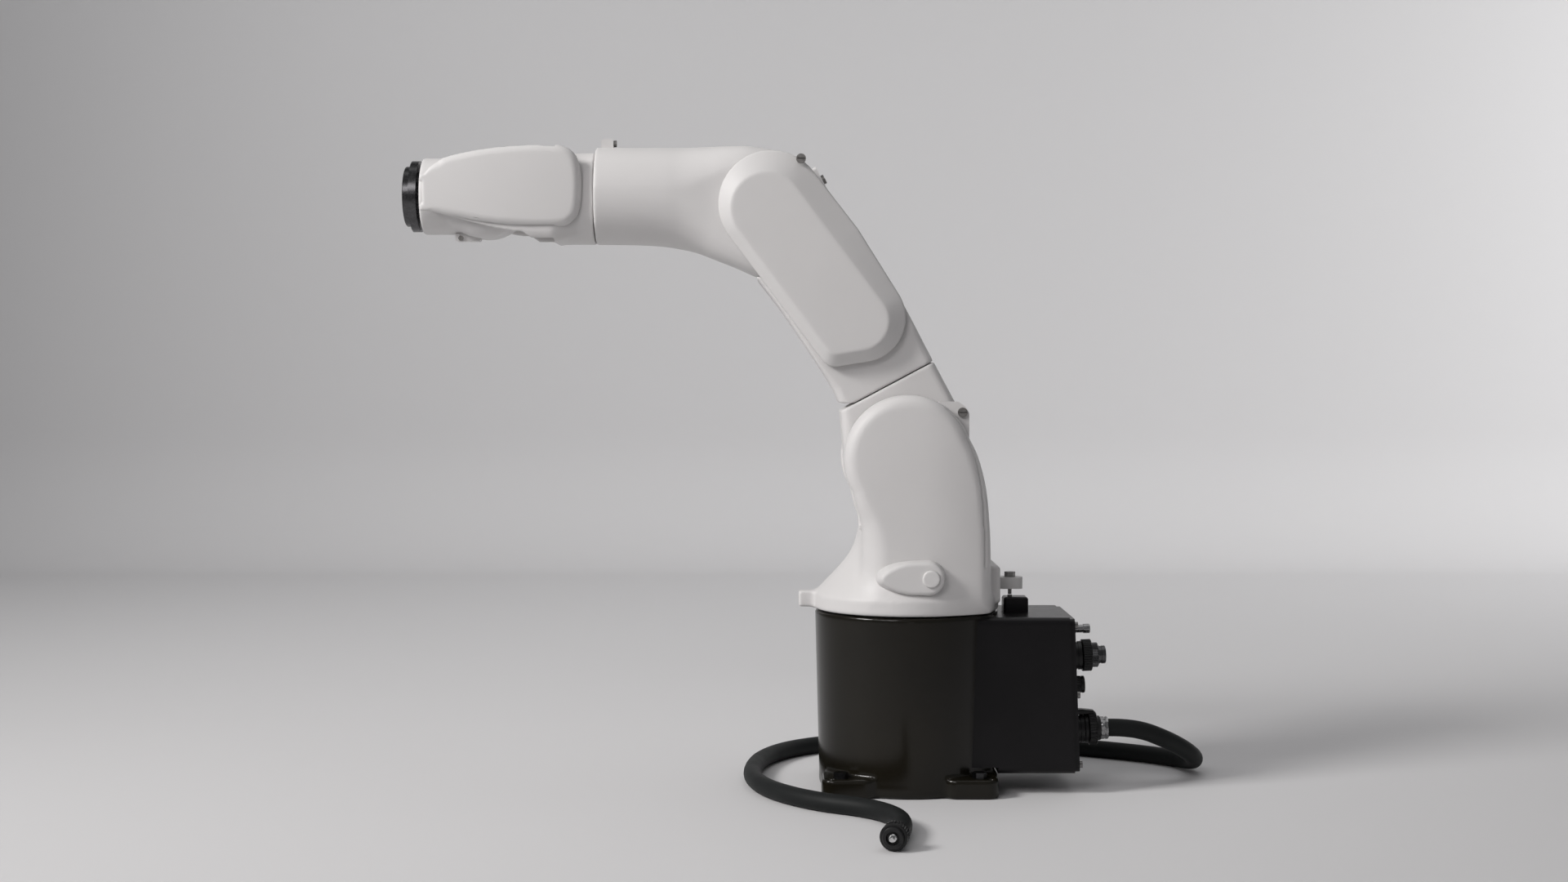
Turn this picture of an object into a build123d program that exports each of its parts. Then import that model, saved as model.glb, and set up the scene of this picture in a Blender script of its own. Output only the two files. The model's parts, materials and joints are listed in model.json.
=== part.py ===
from build123d import *
import math
import os

# Six-axis desktop robot arm, millimetres. X forward, Z up, origin under the J1 axis.

# ---- driving dimensions ----
BASE_H = 186.0
BASE_R_LOW, BASE_R_TOP = 92.0, 96.5
BASE_BORE_R = 82.0
DECK_Z = 150.0
FOOT_X, FOOT_W, FOOT_H, FOOT_R = 91.0, 56.0, 20.0, 14.0
FLOOR_GAP = 4.0
HOLE_R, HOLE_X, HOLE_Y = 3.3, 82.5, 82.5
JACK_X, JACK_Y = 71.0, 76.0

BOX_Y, BOX_LOW, BOX_TOP = 67.0, 22.0, 183.5
BOX_BACK_TOP, BOX_BACK_LOW = -165.0, -171.0
BOX_WALL = 5.0
PANEL_T = 5.0

COLLAR_R, COLLAR_LOW, COLLAR_RIM = 97.0, 187.5, 204.0
CHEEK_IN, CHEEK_MID, CHEEK_OUT = 48.5, 73.0, 84.0
SHOULDER_R = 66.0
SLOT_R = 78.5

J2 = (0.0, 346.0)
ARM_LEAN = 28.0
ARM_LEN = 300.0
ARM_HALF = 47.0
SEAM = 78.0
ELBOW_GAP_R = 77.0
PLATE_IN, PLATE_OUT, ARM_COVER_OUT = 50.0, 57.0, 66.0

FOREARM_Z = 621.0
FOREARM_R = 51.0
FOREARM_HALF = 49.5
KNEE_R = 75.5
J4_X = 326.4

J5_X = 442.5
HEAD_HALF = 39.4
HEAD_R, HEAD_NOSE_R = 44.5, 41.0
PRONG_IN, PRONG_OUT, WRIST_COVER_OUT = 40.0, 47.0, 53.0
HEAD_END = 508.5
FLANGE_X0, FLANGE_X1, FLANGE_X2 = 511.5, 519.5, 526.5
FLANGE_R_BIG, FLANGE_R = 37.25, 31.5
FLANGE_BORE_R, FLANGE_PCD_R, FLANGE_HOLE_R = 15.75, 25.0, 2.5

RUN = 0.05  # radial running clearance of every pivot

os.makedirs("parts", exist_ok=True)

lean = math.radians(ARM_LEAN)
J3 = (J2[0] + ARM_LEN * math.sin(lean), J2[1] + ARM_LEN * math.cos(lean))


def side(y=0.0):
    """The XZ plane at this Y, with its normal along +Y and its local y pointing down."""
    return Plane(origin=(0, y, 0), x_dir=(1, 0, 0), z_dir=(0, 1, 0))


def arm_side(y=0.0):
    """The arm's own side plane: local x runs up the arm, local y forward."""
    along = (math.sin(lean), 0, math.cos(lean))
    return Plane(origin=(J2[0], y, J2[1]), x_dir=along, z_dir=(0, 1, 0))


def across(x, z=0.0, y=0.0):
    """A plane square to the X axis, with its normal forward."""
    return Plane(origin=(x, y, z), x_dir=(0, 1, 0), z_dir=(1, 0, 0))


def xz(points):
    """World X, Z pairs as local points of side()."""
    return [(x, -z) for x, z in points]


def save(block, name):
    block.part.label = name
    export_step(block.part, f"parts/{name}.step")


def disc(radius, low, high, plane, bore=0.0):
    """A plain or bored cylinder from low to high along the plane's normal."""
    body = Solid.make_cylinder(radius, high - low, plane.offset(low))
    if bore:
        body = body - Solid.make_cylinder(bore, high - low + 2, plane.offset(low - 1))
    return body


def prism(points, low, high, plane):
    """A straight prism over a polygon drawn in the plane's own axes."""
    corners = [plane.from_local_coords((x, y, low)) for x, y in points]
    return Solid.extrude(Face(Wire.make_polygon(corners, close=True)), plane.z_dir * (high - low))


def hexagon(across_flats):
    """The six corners of a hexagon."""
    radius = across_flats / math.sqrt(3)
    steps = [math.radians(60 * i) for i in range(6)]
    return [(radius * math.cos(t), radius * math.sin(t)) for t in steps]


def hex_bolt(across_flats, head, radius, shank, plane):
    """A hex head standing on the plane with its shank below it."""
    return prism(hexagon(across_flats), 0, head, plane) + disc(radius, -shank, 0.5, plane)


def slotted_screw(radius, head, shank_r, shank, plane):
    """A slotted cheese-head screw standing on the plane."""
    half = 0.15 * radius
    slot = [(-half, -2 * radius), (half, -2 * radius), (half, 2 * radius), (-half, 2 * radius)]
    body = disc(radius, 0, head, plane) + disc(shank_r, -shank, 0.5, plane)
    return body - prism(slot, 0.5 * head, 2 * head, plane)


def cap_screw(radius, head, shank_r, shank, plane):
    """A socket cap screw standing on the plane."""
    body = disc(radius, 0, head, plane) + disc(shank_r, -shank, 0.5, plane)
    return body - prism(hexagon(1.1 * radius), 0.4 * head, 2 * head, plane)


# ---- base ----
with BuildPart() as base_casting:
    with BuildSketch(Plane.XZ):
        with BuildLine():
            Polyline(
                (0, FLOOR_GAP),
                (BASE_R_LOW, FLOOR_GAP),
                (BASE_R_TOP, BASE_H),
                (0, BASE_H),
                close=True,
            )
        make_face()
    revolve(axis=Axis.Z)
    fillet(base_casting.edges().filter_by(GeomType.CIRCLE).sort_by(Axis.Z)[-1], 2.0)
    with BuildSketch(Plane.XY):
        for sx in (-1, 1):
            for sy in (-1, 1):
                with Locations((sx * (FOOT_X - FOOT_W / 2), sy * (FOOT_X - FOOT_W / 2))):
                    RectangleRounded(FOOT_W, FOOT_W, FOOT_R)
    extrude(amount=FOOT_H)
    with BuildSketch(Plane.XY.offset(FLOOR_GAP)):
        Circle(BASE_BORE_R)
    extrude(amount=DECK_Z - FLOOR_GAP, mode=Mode.SUBTRACT)
    with BuildSketch(Plane.XY):
        Circle(BASE_BORE_R - 4)
    extrude(amount=FLOOR_GAP + 1, mode=Mode.SUBTRACT)
    with BuildSketch(Plane.XY.offset(DECK_Z - 1)):
        Circle(45.0)
    extrude(amount=BASE_H, mode=Mode.SUBTRACT)
    with BuildSketch(across(-120, 100)):
        RectangleRounded(70, 100, 10)
    extrude(amount=60, mode=Mode.SUBTRACT)
    with BuildSketch(Plane.XY):
        for sx in (-1, 1):
            for sy in (-1, 1):
                with Locations((sx * HOLE_X, sy * HOLE_Y)):
                    Circle(HOLE_R)
    extrude(amount=FOOT_H + 60, mode=Mode.SUBTRACT)

with BuildPart() as bottom_plate:
    with BuildSketch(Plane.XY.offset(FLOOR_GAP - 2)):
        Circle(BASE_BORE_R - 4)
    extrude(amount=3.0)
    with BuildSketch(Plane.XY.offset(FLOOR_GAP - 2)):
        with PolarLocations(60, 4):
            Circle(4)
    extrude(amount=3.0, mode=Mode.SUBTRACT)
save(bottom_plate, "bottom_plate")

jacks = [
    hex_bolt(13.0, 6.0, 4.0, 12.0, Plane(origin=(sx * JACK_X, sy * JACK_Y, FOOT_H)))
    for sx in (-1, 1)
    for sy in (-1, 1)
]
with BuildPart() as base_casting_tapped:
    add(base_casting.part)
    for jack in jacks:
        add(jack, mode=Mode.SUBTRACT)
save(base_casting_tapped, "base_casting")

with BuildPart() as levelling_screws:
    for jack in jacks:
        add(jack)
save(levelling_screws, "levelling_screws")

# rear connection box: its back face leans a little outward towards the floor
slope = math.atan2(BOX_BACK_TOP - BOX_BACK_LOW, BOX_TOP - BOX_LOW)
with BuildPart() as connection_box:
    with BuildSketch(side(-BOX_Y)):
        with BuildLine():
            Polyline(
                *xz(
                    [
                        (-50, BOX_LOW),
                        (BOX_BACK_LOW, BOX_LOW),
                        (BOX_BACK_TOP, BOX_TOP),
                        (-50, BOX_TOP),
                    ]
                ),
                close=True,
            )
        make_face()
    extrude(amount=2 * BOX_Y)
    fillet(connection_box.edges().filter_by(Axis.X), 7.0)
    with BuildSketch(side(-BOX_Y + BOX_WALL)):
        with BuildLine():
            Polyline(
                *xz(
                    [
                        (-40, BOX_LOW + BOX_WALL),
                        (BOX_BACK_LOW - 10, BOX_LOW + BOX_WALL),
                        (BOX_BACK_TOP - 10, BOX_TOP - BOX_WALL),
                        (-40, BOX_TOP - BOX_WALL),
                    ]
                ),
                close=True,
            )
        make_face()
    extrude(amount=2 * (BOX_Y - BOX_WALL), mode=Mode.SUBTRACT)
    with BuildSketch(Plane.XZ):
        with BuildLine():
            Polyline((0, 0), (BASE_R_LOW, FLOOR_GAP), (BASE_R_TOP, BASE_H), (0, 200), close=True)
        make_face()
    revolve(axis=Axis.Z, mode=Mode.SUBTRACT)
    with BuildSketch(Plane.XY):
        with Locations((-(FOOT_X - FOOT_W / 2), 0)):
            Rectangle(FOOT_W + 1, 2 * FOOT_X)
    extrude(amount=FOOT_H + 9, mode=Mode.SUBTRACT)

back_mid_x = (BOX_BACK_TOP + BOX_BACK_LOW) / 2
back_mid_z = (BOX_TOP + BOX_LOW) / 2
BACK = Plane(
    origin=(back_mid_x, 0, back_mid_z),
    x_dir=(0, -1, 0),
    z_dir=(-math.cos(slope), 0, math.sin(slope)),
)
PANEL_W, PANEL_H = 2 * BOX_Y - 3, BOX_TOP - BOX_LOW - 3
MOTOR_SOCKET = (0.0, 136.0 - back_mid_z)
SIGNAL_SOCKET = (-6.0, 106.0 - back_mid_z)
POWER_SOCKET = (0.0, 58.0 - back_mid_z)
AIR_PORT = (18.0, 162.0 - back_mid_z)
SCREW_SPOTS = [
    (sx * (PANEL_W / 2 - 7), h) for sx in (-1, 1) for h in (-PANEL_H / 2 + 7, 0, PANEL_H / 2 - 7)
]
OUTSIDE = BACK.offset(PANEL_T)


def at(plane, spot):
    """The plane moved to a spot given in its own axes."""
    return plane.shift_origin(plane.from_local_coords((spot[0], spot[1], 0)))


with BuildPart() as connector_panel:
    with BuildSketch(BACK):
        RectangleRounded(PANEL_W, PANEL_H, 6)
        for spot, radius in (
            (MOTOR_SOCKET, 11.0),
            (SIGNAL_SOCKET, 6.0),
            (POWER_SOCKET, 11.0),
            (AIR_PORT, 3.0),
        ):
            with Locations(spot):
                Circle(radius, mode=Mode.SUBTRACT)
        with Locations(*SCREW_SPOTS):
            Circle(2.0, mode=Mode.SUBTRACT)
    extrude(amount=PANEL_T)
save(connector_panel, "connector_panel")

with BuildPart() as panel_screws:
    for spot in SCREW_SPOTS:
        add(cap_screw(3.5, 3.5, 2.0, 10.0, at(OUTSIDE, spot)))
save(panel_screws, "panel_screws")

with BuildPart() as connection_box_tapped:
    add(connection_box.part)
    for spot in SCREW_SPOTS:
        corner = at(BACK, spot)
        add(disc(5.5, -15, 0, corner))
        add(disc(2.0, -10, 1, corner), mode=Mode.SUBTRACT)
save(connection_box_tapped, "connection_box")


def turned(name, plane, steps, bore=0.0):
    """A connector turned from a list of (radius, low, high) steps along the plane's normal."""
    with BuildPart() as piece:
        for radius, low, high in steps:
            add(disc(radius, low, high, plane))
        if bore:
            add(disc(bore, steps[0][1] - 1, steps[-1][2] + 1, plane), mode=Mode.SUBTRACT)
    save(piece, name)
    return piece


motor_at = at(OUTSIDE, MOTOR_SOCKET)
signal_at = at(OUTSIDE, SIGNAL_SOCKET)
power_at = at(OUTSIDE, POWER_SOCKET)
air_at = at(OUTSIDE, AIR_PORT)
turned("motor_connector", motor_at, [(11, -12, 0), (16, 0, 5), (15, 5, 14)], 8)
turned("motor_connector_ring", motor_at, [(17, 14, 24)], 15.5)
turned("motor_connector_cap", motor_at, [(15.5, 14, 22), (13, 22, 31), (9.5, 31, 39)])
turned("signal_connector", signal_at, [(6, -10, 0), (10, 0, 4), (9, 4, 15)], 5)
turned("power_connector", power_at, [(11, -12, 0), (17, 0, 5), (15, 5, 14)], 8)
turned("air_fitting", air_at, [(3, -10, 0), (5.5, 0, 6), (4.2, 6, 19), (5, 19, 26)], 1.6)

GLAND_END = 39.0
CORD_R = 9.5
with BuildPart() as power_plug:
    add(disc(15.0, 14, 18, power_at))
    add(disc(17.5, 18, 27, power_at))
    add(disc(13.0, 27, 31, power_at))
    with BuildSketch(at(power_at.offset(6), (0, 18.3))):
        RectangleRounded(12, 6, 1.5)
    extrude(amount=19)
    add(disc(CORD_R, 15, 40, power_at), mode=Mode.SUBTRACT)
save(power_plug, "power_plug")
with BuildPart() as cable_gland:
    add(disc(12.0, 31, GLAND_END, power_at))
    add(disc(CORD_R, 28, 50, power_at), mode=Mode.SUBTRACT)
save(cable_gland, "cable_gland")

# turning-stop block on top of the box
BLOCK_X0, BLOCK_X1, BLOCK_Z = -128.0, -102.0, 201.0
with BuildPart() as j1_stop_block:
    with BuildSketch(Plane.XY.offset(BOX_TOP)):
        with Locations(((BLOCK_X0 + BLOCK_X1) / 2, 0)):
            RectangleRounded(BLOCK_X1 - BLOCK_X0, 26, 3)
    extrude(amount=BLOCK_Z - 1.5 - BOX_TOP)
    fillet(j1_stop_block.faces().sort_by(Axis.Z)[-1].edges(), 3.0)
    with BuildSketch(Plane.XY.offset(BLOCK_Z - 10)):
        with Locations((-109.5, 0)):
            Circle(2.5)
    extrude(amount=20, mode=Mode.SUBTRACT)
save(j1_stop_block, "j1_stop_block")
turned("j1_stop_pin", Plane(origin=(-109.5, 0, BLOCK_Z)), [(2.5, -10, 0)])

# drive of the first joint, inside the base
turned("j1_motor", Plane.XY, [(38, 30, 92), (14, 92, 100)])
turned("j1_reducer", Plane.XY, [(60, 112, DECK_Z), (43, DECK_Z, 158)], 20)
turned("j1_motor_bracket", Plane.XY, [(BASE_BORE_R, 100, 112)], 10)

# ---- turret ----
SHOULDER = (2.0, 347.0)
REAR_CURVE = [(-70.0, 349.0), (-78.5, 316.0), (-82.5, 274.0), (-83.5, 240.0)]
WAIST_CURVE = [(49.0, 262.0), (49.5, 280.0), (54.5, 297.0)]
with BuildPart() as collar:
    with BuildSketch(Plane.XZ):
        with BuildLine():
            Line((0, COLLAR_LOW), (COLLAR_R - 1.5, COLLAR_LOW))
            Line((COLLAR_R - 1.5, COLLAR_LOW), (COLLAR_R, COLLAR_LOW + 2))
            Line((COLLAR_R, COLLAR_LOW + 2), (COLLAR_R, COLLAR_RIM))
            Spline((COLLAR_R, COLLAR_RIM), (71, 236), (57, 257), (50, 280), tangents=((-0.5, 1), (0, 1)))
            Line((50, 280), (0, 280))
            Line((0, 280), (0, COLLAR_LOW))
        make_face()
    revolve(axis=Axis.Z)


def on_head(radius, degrees):
    """A point on the round head of the turret."""
    turn = math.radians(degrees)
    return (SHOULDER[0] + radius * math.cos(turn), SHOULDER[1] + radius * math.sin(turn))


def shoulder_outline(inset, low):
    """Side outline of the turret column and its round head, drawn on side()."""
    radius = SHOULDER_R - inset
    rear = [(x + inset, z) for x, z in REAR_CURVE]
    waist = [(x - inset, z) for x, z in WAIST_CURVE]
    crown = [on_head(radius, -32), on_head(radius, 64), on_head(radius, 160)]
    with BuildSketch(mode=Mode.PRIVATE) as outline:
        with BuildLine():
            ThreePointArc(*xz(crown))
            Spline(*xz([crown[2]] + rear), tangents=((-0.34, 0.94), (0, 1)))
            Polyline(*xz([rear[-1], (rear[-1][0], low), (waist[0][0], low), waist[0]]))
            Spline(*xz(waist + [crown[0]]), tangents=((0, -1), (0.53, -0.85)))
        make_face()
    return outline.sketch


with BuildPart() as turret_casting:
    add(collar.part)
    with BuildSketch(Plane.XY.offset(210)):
        with Locations((-83, 0)):
            RectangleRounded(25, 88, 5)
    extrude(amount=25)
    with BuildSketch(side(-CHEEK_MID)):
        add(shoulder_outline(0, 235))
    extrude(amount=2 * CHEEK_MID)
    # slot for the arm hub, open above, behind and in front
    with BuildSketch(side(-CHEEK_IN)):
        with Locations((J2[0], -J2[1])):
            Circle(SLOT_R)
        with Locations((60, -J2[1] - 20)):
            Rectangle(120, 190)
        with Locations((-60, -J2[1] - 60)):
            Rectangle(100, 200)
    extrude(amount=2 * CHEEK_IN, mode=Mode.SUBTRACT)
    # front stop lug
    with BuildSketch(Plane.XY.offset(189)):
        with Locations((98, 0)):
            RectangleRounded(32, 18, 4)
    extrude(amount=17)
    # bearing bores and the pockets for the drive behind each cover
    with BuildSketch(side(-60)):
        with Locations((J2[0], -J2[1])):
            Circle(35)
    extrude(amount=120, mode=Mode.SUBTRACT)
    for start in (-CHEEK_MID, 58):
        with BuildSketch(side(start)):
            with Locations((J2[0], -J2[1])):
                Circle(52)
        extrude(amount=CHEEK_MID - 58, mode=Mode.SUBTRACT)
    # hollow column and collar
    with BuildSketch(Plane.XY.offset(200)):
        with Locations((-15, 0)):
            RectangleRounded(118, 120, 24)
    extrude(amount=58, mode=Mode.SUBTRACT)
    with BuildSketch(Plane.XY.offset(180)):
        Circle(20)
    extrude(amount=30, mode=Mode.SUBTRACT)
    # spigot that turns in the bore of the base
    with BuildSketch(Plane.XY.offset(160)):
        Circle(45 - RUN)
        Circle(20, mode=Mode.SUBTRACT)
    extrude(amount=COLLAR_LOW - 160 + 1)
save(turret_casting, "turret_casting")

with BuildPart() as turret_cover_left:
    with BuildSketch(side(CHEEK_MID)):
        add(shoulder_outline(1.5, 206))
    extrude(amount=CHEEK_OUT - CHEEK_MID)
    fillet(turret_cover_left.faces().sort_by(Axis.Y)[-1].edges(), 8.0)
    with BuildSketch(side(CHEEK_MID)):
        add(shoulder_outline(12, 206))
        with Locations((0, -206)):
            Rectangle(300, 112, mode=Mode.SUBTRACT)
    extrude(amount=CHEEK_OUT - CHEEK_MID - 3.5, mode=Mode.SUBTRACT)
    add(collar.part, mode=Mode.SUBTRACT)
save(turret_cover_left, "turret_cover_left")
with BuildPart() as turret_cover_right:
    add(mirror(turret_cover_left.part, about=Plane.XZ))
save(turret_cover_right, "turret_cover_right")

# oval cover on the near side of the collar, with its round plug
BOSS_Z, BOSS_OUT = 226.5, 98.0
with BuildPart() as side_boss_cover:
    with BuildSketch(side(CHEEK_MID + 4)):
        with Locations((-16, -BOSS_Z)):
            Circle(18.5)
        with Locations((3, -BOSS_Z)):
            Ellipse(33, 16)
        make_hull()
    extrude(amount=BOSS_OUT - CHEEK_MID - 4)
    fillet(side_boss_cover.faces().sort_by(Axis.Y)[-1].edges(), 3.0)
    add(collar.part, mode=Mode.SUBTRACT)
    add(turret_cover_left.part, mode=Mode.SUBTRACT)
    with BuildSketch(side(BOSS_OUT - 6)):
        with Locations((-20, -BOSS_Z)):
            Circle(8.0)
    extrude(amount=10, mode=Mode.SUBTRACT)
save(side_boss_cover, "side_boss_cover")
with BuildPart() as boss_plug:
    with BuildSketch(side(BOSS_OUT - 6)):
        with Locations((-20, -BOSS_Z)):
            Circle(8.0)
    extrude(amount=6)
    with BuildSketch(side(BOSS_OUT)):
        with Locations((-20, -BOSS_Z)):
            Circle(9.0)
    extrude(amount=3)
    fillet(boss_plug.faces().sort_by(Axis.Y)[-1].edges(), 1.5)
save(boss_plug, "boss_plug")

# rear index tab with its bolt, which points down at the pin of the stop block
with BuildPart() as j1_index_tab:
    with BuildSketch(Plane.XY.offset(208)):
        with Locations((-107, 0)):
            RectangleRounded(31, 20, 7)
    extrude(amount=12)
    with BuildSketch(Plane.XY.offset(200)):
        with Locations((-60, 0)):
            Rectangle(71, 60)
    extrude(amount=40, mode=Mode.SUBTRACT)
    with BuildSketch(Plane.XY.offset(200)):
        with Locations((-109.5, 0)):
            Circle(3.0)
    extrude(amount=40, mode=Mode.SUBTRACT)
save(j1_index_tab, "j1_index_tab")
index_bolt = hex_bolt(10, 5.5, 3.0, 12.0, Plane(origin=(-109.5, 0, 220)))
index_tip = disc(2.0, -18.3, -12, Plane(origin=(-109.5, 0, 220)))
with BuildPart() as j1_index_bolt:
    add(index_bolt)
    add(index_tip)
save(j1_index_bolt, "j1_index_bolt")

# shoulder index lug on the near cheek, with a slotted screw
LUG_SCREW = (-54.0, 395.0)
with BuildPart() as j2_index_lug:
    with BuildSketch(side(CHEEK_IN + 1)):
        with BuildLine():
            Polyline(
                *xz([(-30, 366), (-61, 366), (-61, 394), (-57, 401), (-50, 406), (-30, 406)]),
                close=True,
            )
        make_face()
    extrude(amount=12)
    with BuildSketch(side(CHEEK_IN)):
        with Locations((SHOULDER[0], -SHOULDER[1])):
            Circle(SHOULDER_R - 6)
    extrude(amount=20, mode=Mode.SUBTRACT)
    add(turret_casting.part, mode=Mode.SUBTRACT)
    with BuildSketch(side(CHEEK_IN)):
        with Locations((LUG_SCREW[0], -LUG_SCREW[1])):
            Circle(2.5)
    extrude(amount=20, mode=Mode.SUBTRACT)
save(j2_index_lug, "j2_index_lug")
lug_face = CHEEK_IN + 13
with BuildPart() as j2_index_screw:
    add(
        slotted_screw(
            5.0, 3.5, 2.5, 11.0, Plane(origin=(LUG_SCREW[0], lug_face, LUG_SCREW[1]), z_dir=(0, 1, 0))
        )
    )
save(j2_index_screw, "j2_index_screw")


def shoulder_axis(y):
    """A plane square to the J2 axis at this Y."""
    return Plane(origin=(J2[0], y, J2[1]), x_dir=(1, 0, 0), z_dir=(0, 1, 0))


# drive of the second joint: motor behind the far cover, reducer behind the near one
turned("j2_motor", shoulder_axis(-CHEEK_MID), [(40, -4, 15), (12, 15, 20)])
turned("j2_reducer", shoulder_axis(CHEEK_MID), [(50, -15, 4)], 14)

# ---- upper arm: lower casting ----
FRONT_EDGE = [(SEAM, 37.0), (108, 35.4), (160, 40.0), (200, 44.5), (242, 51.4), (262, 54.5)]
REAR_EDGE = [(SEAM, -70.3), (137, -70.3), (170, -70.0), (204, -67.0), (247, -61.0), (262, -58.0)]
with BuildPart() as lower_arm_casting:
    with BuildSketch(arm_side(-ARM_HALF)):
        Circle(66)
        with BuildLine():
            Polyline((0, 40), (56, 42.4), FRONT_EDGE[0], REAR_EDGE[0], (30, -70.3), close=True)
        make_face()
        make_hull()
    extrude(amount=2 * ARM_HALF)
    fillet(lower_arm_casting.edges().group_by(Axis.Y)[-1], 6.0)
    fillet(lower_arm_casting.edges().group_by(Axis.Y)[0], 6.0)
    with BuildSketch(arm_side(-57)):
        Circle(35 - RUN)
    extrude(amount=114)
    with BuildSketch(arm_side(-60)):
        Circle(22)
    extrude(amount=120, mode=Mode.SUBTRACT)
    with BuildSketch(arm_side(-36)):
        with Locations((49, -18)):
            RectangleRounded(42, 86, 8)
    extrude(amount=72, mode=Mode.SUBTRACT)
    with BuildSketch(arm_side(-24)):
        with Locations((74, -18)):
            Rectangle(30, 50)
    extrude(amount=48, mode=Mode.SUBTRACT)
ARM_SCREWS = [(w, y) for w in (-53, 20) for y in (-27, 27)]


def along_arm(u, w=0.0, y=0.0):
    """A plane square to the arm at height u, its normal up the arm."""
    base = arm_side(y)
    return Plane(
        origin=base.from_local_coords((u, w, 0)), x_dir=(0, 1, 0), z_dir=base.x_dir
    )


screw_seats = [along_arm(70, w, y).rotated((180, 0, 0)) for w, y in ARM_SCREWS]
screws = [cap_screw(4.5, 5.0, 2.5, 16.0, seat) for seat in screw_seats]
head_room = [disc(5.5, 0, 6, seat) for seat in screw_seats]
with BuildPart() as arm_joint_screws:
    for screw in screws:
        add(screw)
save(arm_joint_screws, "arm_joint_screws")
with BuildPart() as lower_arm_bored:
    add(lower_arm_casting.part)
    for screw, room in zip(screws, head_room):
        add(room, mode=Mode.SUBTRACT)
        add(screw, mode=Mode.SUBTRACT)
save(lower_arm_bored, "lower_arm_casting")


# ---- upper arm: upper casting and covers ----
def cover_outline(inset):
    """Outer edge of an arm cover, drawn on arm_side()."""
    with BuildSketch(mode=Mode.PRIVATE) as outline:
        with Locations((ARM_LEN, 2)):
            Circle(54.5 - inset)
        with Locations((152.5, -25)):
            Circle(45.5 - inset)
        with Locations((228, -12.5)):
            Circle(52.5 - inset)
        with Locations((136, 14)):
            Circle(17.5 - inset)
        make_hull()
    return outline.sketch


def cover_face():
    """Flat outer face of an arm cover, drawn on arm_side()."""
    with BuildSketch(mode=Mode.PRIVATE) as outline:
        with Locations((298, 9)):
            Circle(38)
        with Locations((152, -22)):
            Circle(30)
        with Locations((142, 10)):
            Circle(12)
        make_hull()
    return outline.sketch


with BuildPart() as upper_arm_casting:
    with BuildSketch(arm_side(-ARM_HALF)):
        with BuildLine():
            Spline(*FRONT_EDGE)
            Line(FRONT_EDGE[-1], REAR_EDGE[-1])
            Spline(*REAR_EDGE[::-1])
            Line(REAR_EDGE[0], FRONT_EDGE[0])
        make_face()
    extrude(amount=2 * ARM_HALF)
    fillet(upper_arm_casting.edges().group_by(Axis.Y)[-1].sort_by(SortBy.LENGTH)[-2:], 6.0)
    fillet(upper_arm_casting.edges().group_by(Axis.Y)[0].sort_by(SortBy.LENGTH)[-2:], 6.0)
    with BuildSketch(arm_side(-PLATE_IN)):
        add(cover_outline(3.0))
    extrude(amount=2 * PLATE_IN)
    with BuildSketch(arm_side(-PLATE_IN)):
        with Locations((ARM_LEN, 0)):
            Circle(ELBOW_GAP_R)
        with Locations((ARM_LEN + 40, 0)):
            Rectangle(80, 200)
    extrude(amount=2 * PLATE_IN, mode=Mode.SUBTRACT)
    for start in (-PLATE_OUT, PLATE_IN):
        with BuildSketch(arm_side(start)):
            add(cover_outline(3.0))
        extrude(amount=PLATE_OUT - PLATE_IN)
    with BuildSketch(side(PLATE_IN)):
        with Locations((116, -650)):
            RectangleRounded(22, 26, 3)
    extrude(amount=11)
    with BuildSketch(arm_side(-PLATE_OUT - 1)):
        with Locations((ARM_LEN, 0)):
            Circle(25)
    extrude(amount=2 * PLATE_OUT + 20, mode=Mode.SUBTRACT)
    with BuildSketch(arm_side(-38)):
        with BuildLine():
            Polyline((90, 27), (150, 29), (206, 34), (214, -54), (150, -61), (90, -61), close=True)
        make_face()
    extrude(amount=76, mode=Mode.SUBTRACT)
    with BuildSketch(arm_side(-24)):
        with Locations((80, -18)):
            Rectangle(40, 50)
    extrude(amount=48, mode=Mode.SUBTRACT)
    for screw in screws:
        add(screw, mode=Mode.SUBTRACT)
INDEX_SCREW = (112.0, 655.0)
lug_out = PLATE_IN + 11
with BuildPart() as j3_index_screw:
    add(
        slotted_screw(
            5.0, 3.5, 2.5, 9.0, Plane(origin=(INDEX_SCREW[0], lug_out, INDEX_SCREW[1]), z_dir=(0, 1, 0))
        )
    )
save(j3_index_screw, "j3_index_screw")

with BuildPart() as arm_cover_left:
    with BuildSketch(arm_side(PLATE_IN)):
        add(cover_outline(0.0))
    extrude(amount=PLATE_OUT - PLATE_IN)
    with BuildSketch(arm_side(PLATE_OUT)):
        add(cover_outline(0.0))
    with BuildSketch(arm_side(ARM_COVER_OUT)):
        add(cover_face())
    loft(ruled=True)
    with BuildSketch(arm_side(PLATE_IN - 1)):
        add(cover_outline(3.0))
    extrude(amount=PLATE_OUT - PLATE_IN + 1, mode=Mode.SUBTRACT)
    with BuildSketch(arm_side(PLATE_OUT - 1)):
        add(cover_outline(17.0))
    extrude(amount=ARM_COVER_OUT - PLATE_OUT - 2.5, mode=Mode.SUBTRACT)
with BuildPart() as arm_cover_right:
    add(mirror(arm_cover_left.part, about=Plane.XZ))
save(arm_cover_right, "arm_cover_right")
with BuildPart() as arm_cover_notched:
    add(arm_cover_left.part)
    with BuildSketch(side(PLATE_IN - 5)):
        with Locations((116, -650)):
            RectangleRounded(22.2, 26.2, 3)
    extrude(amount=16, mode=Mode.SUBTRACT)
save(arm_cover_notched, "arm_cover_left")
with BuildPart() as upper_arm_bored:
    add(upper_arm_casting.part)
    add(j3_index_screw.part, mode=Mode.SUBTRACT)
save(upper_arm_bored, "upper_arm_casting")

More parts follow.
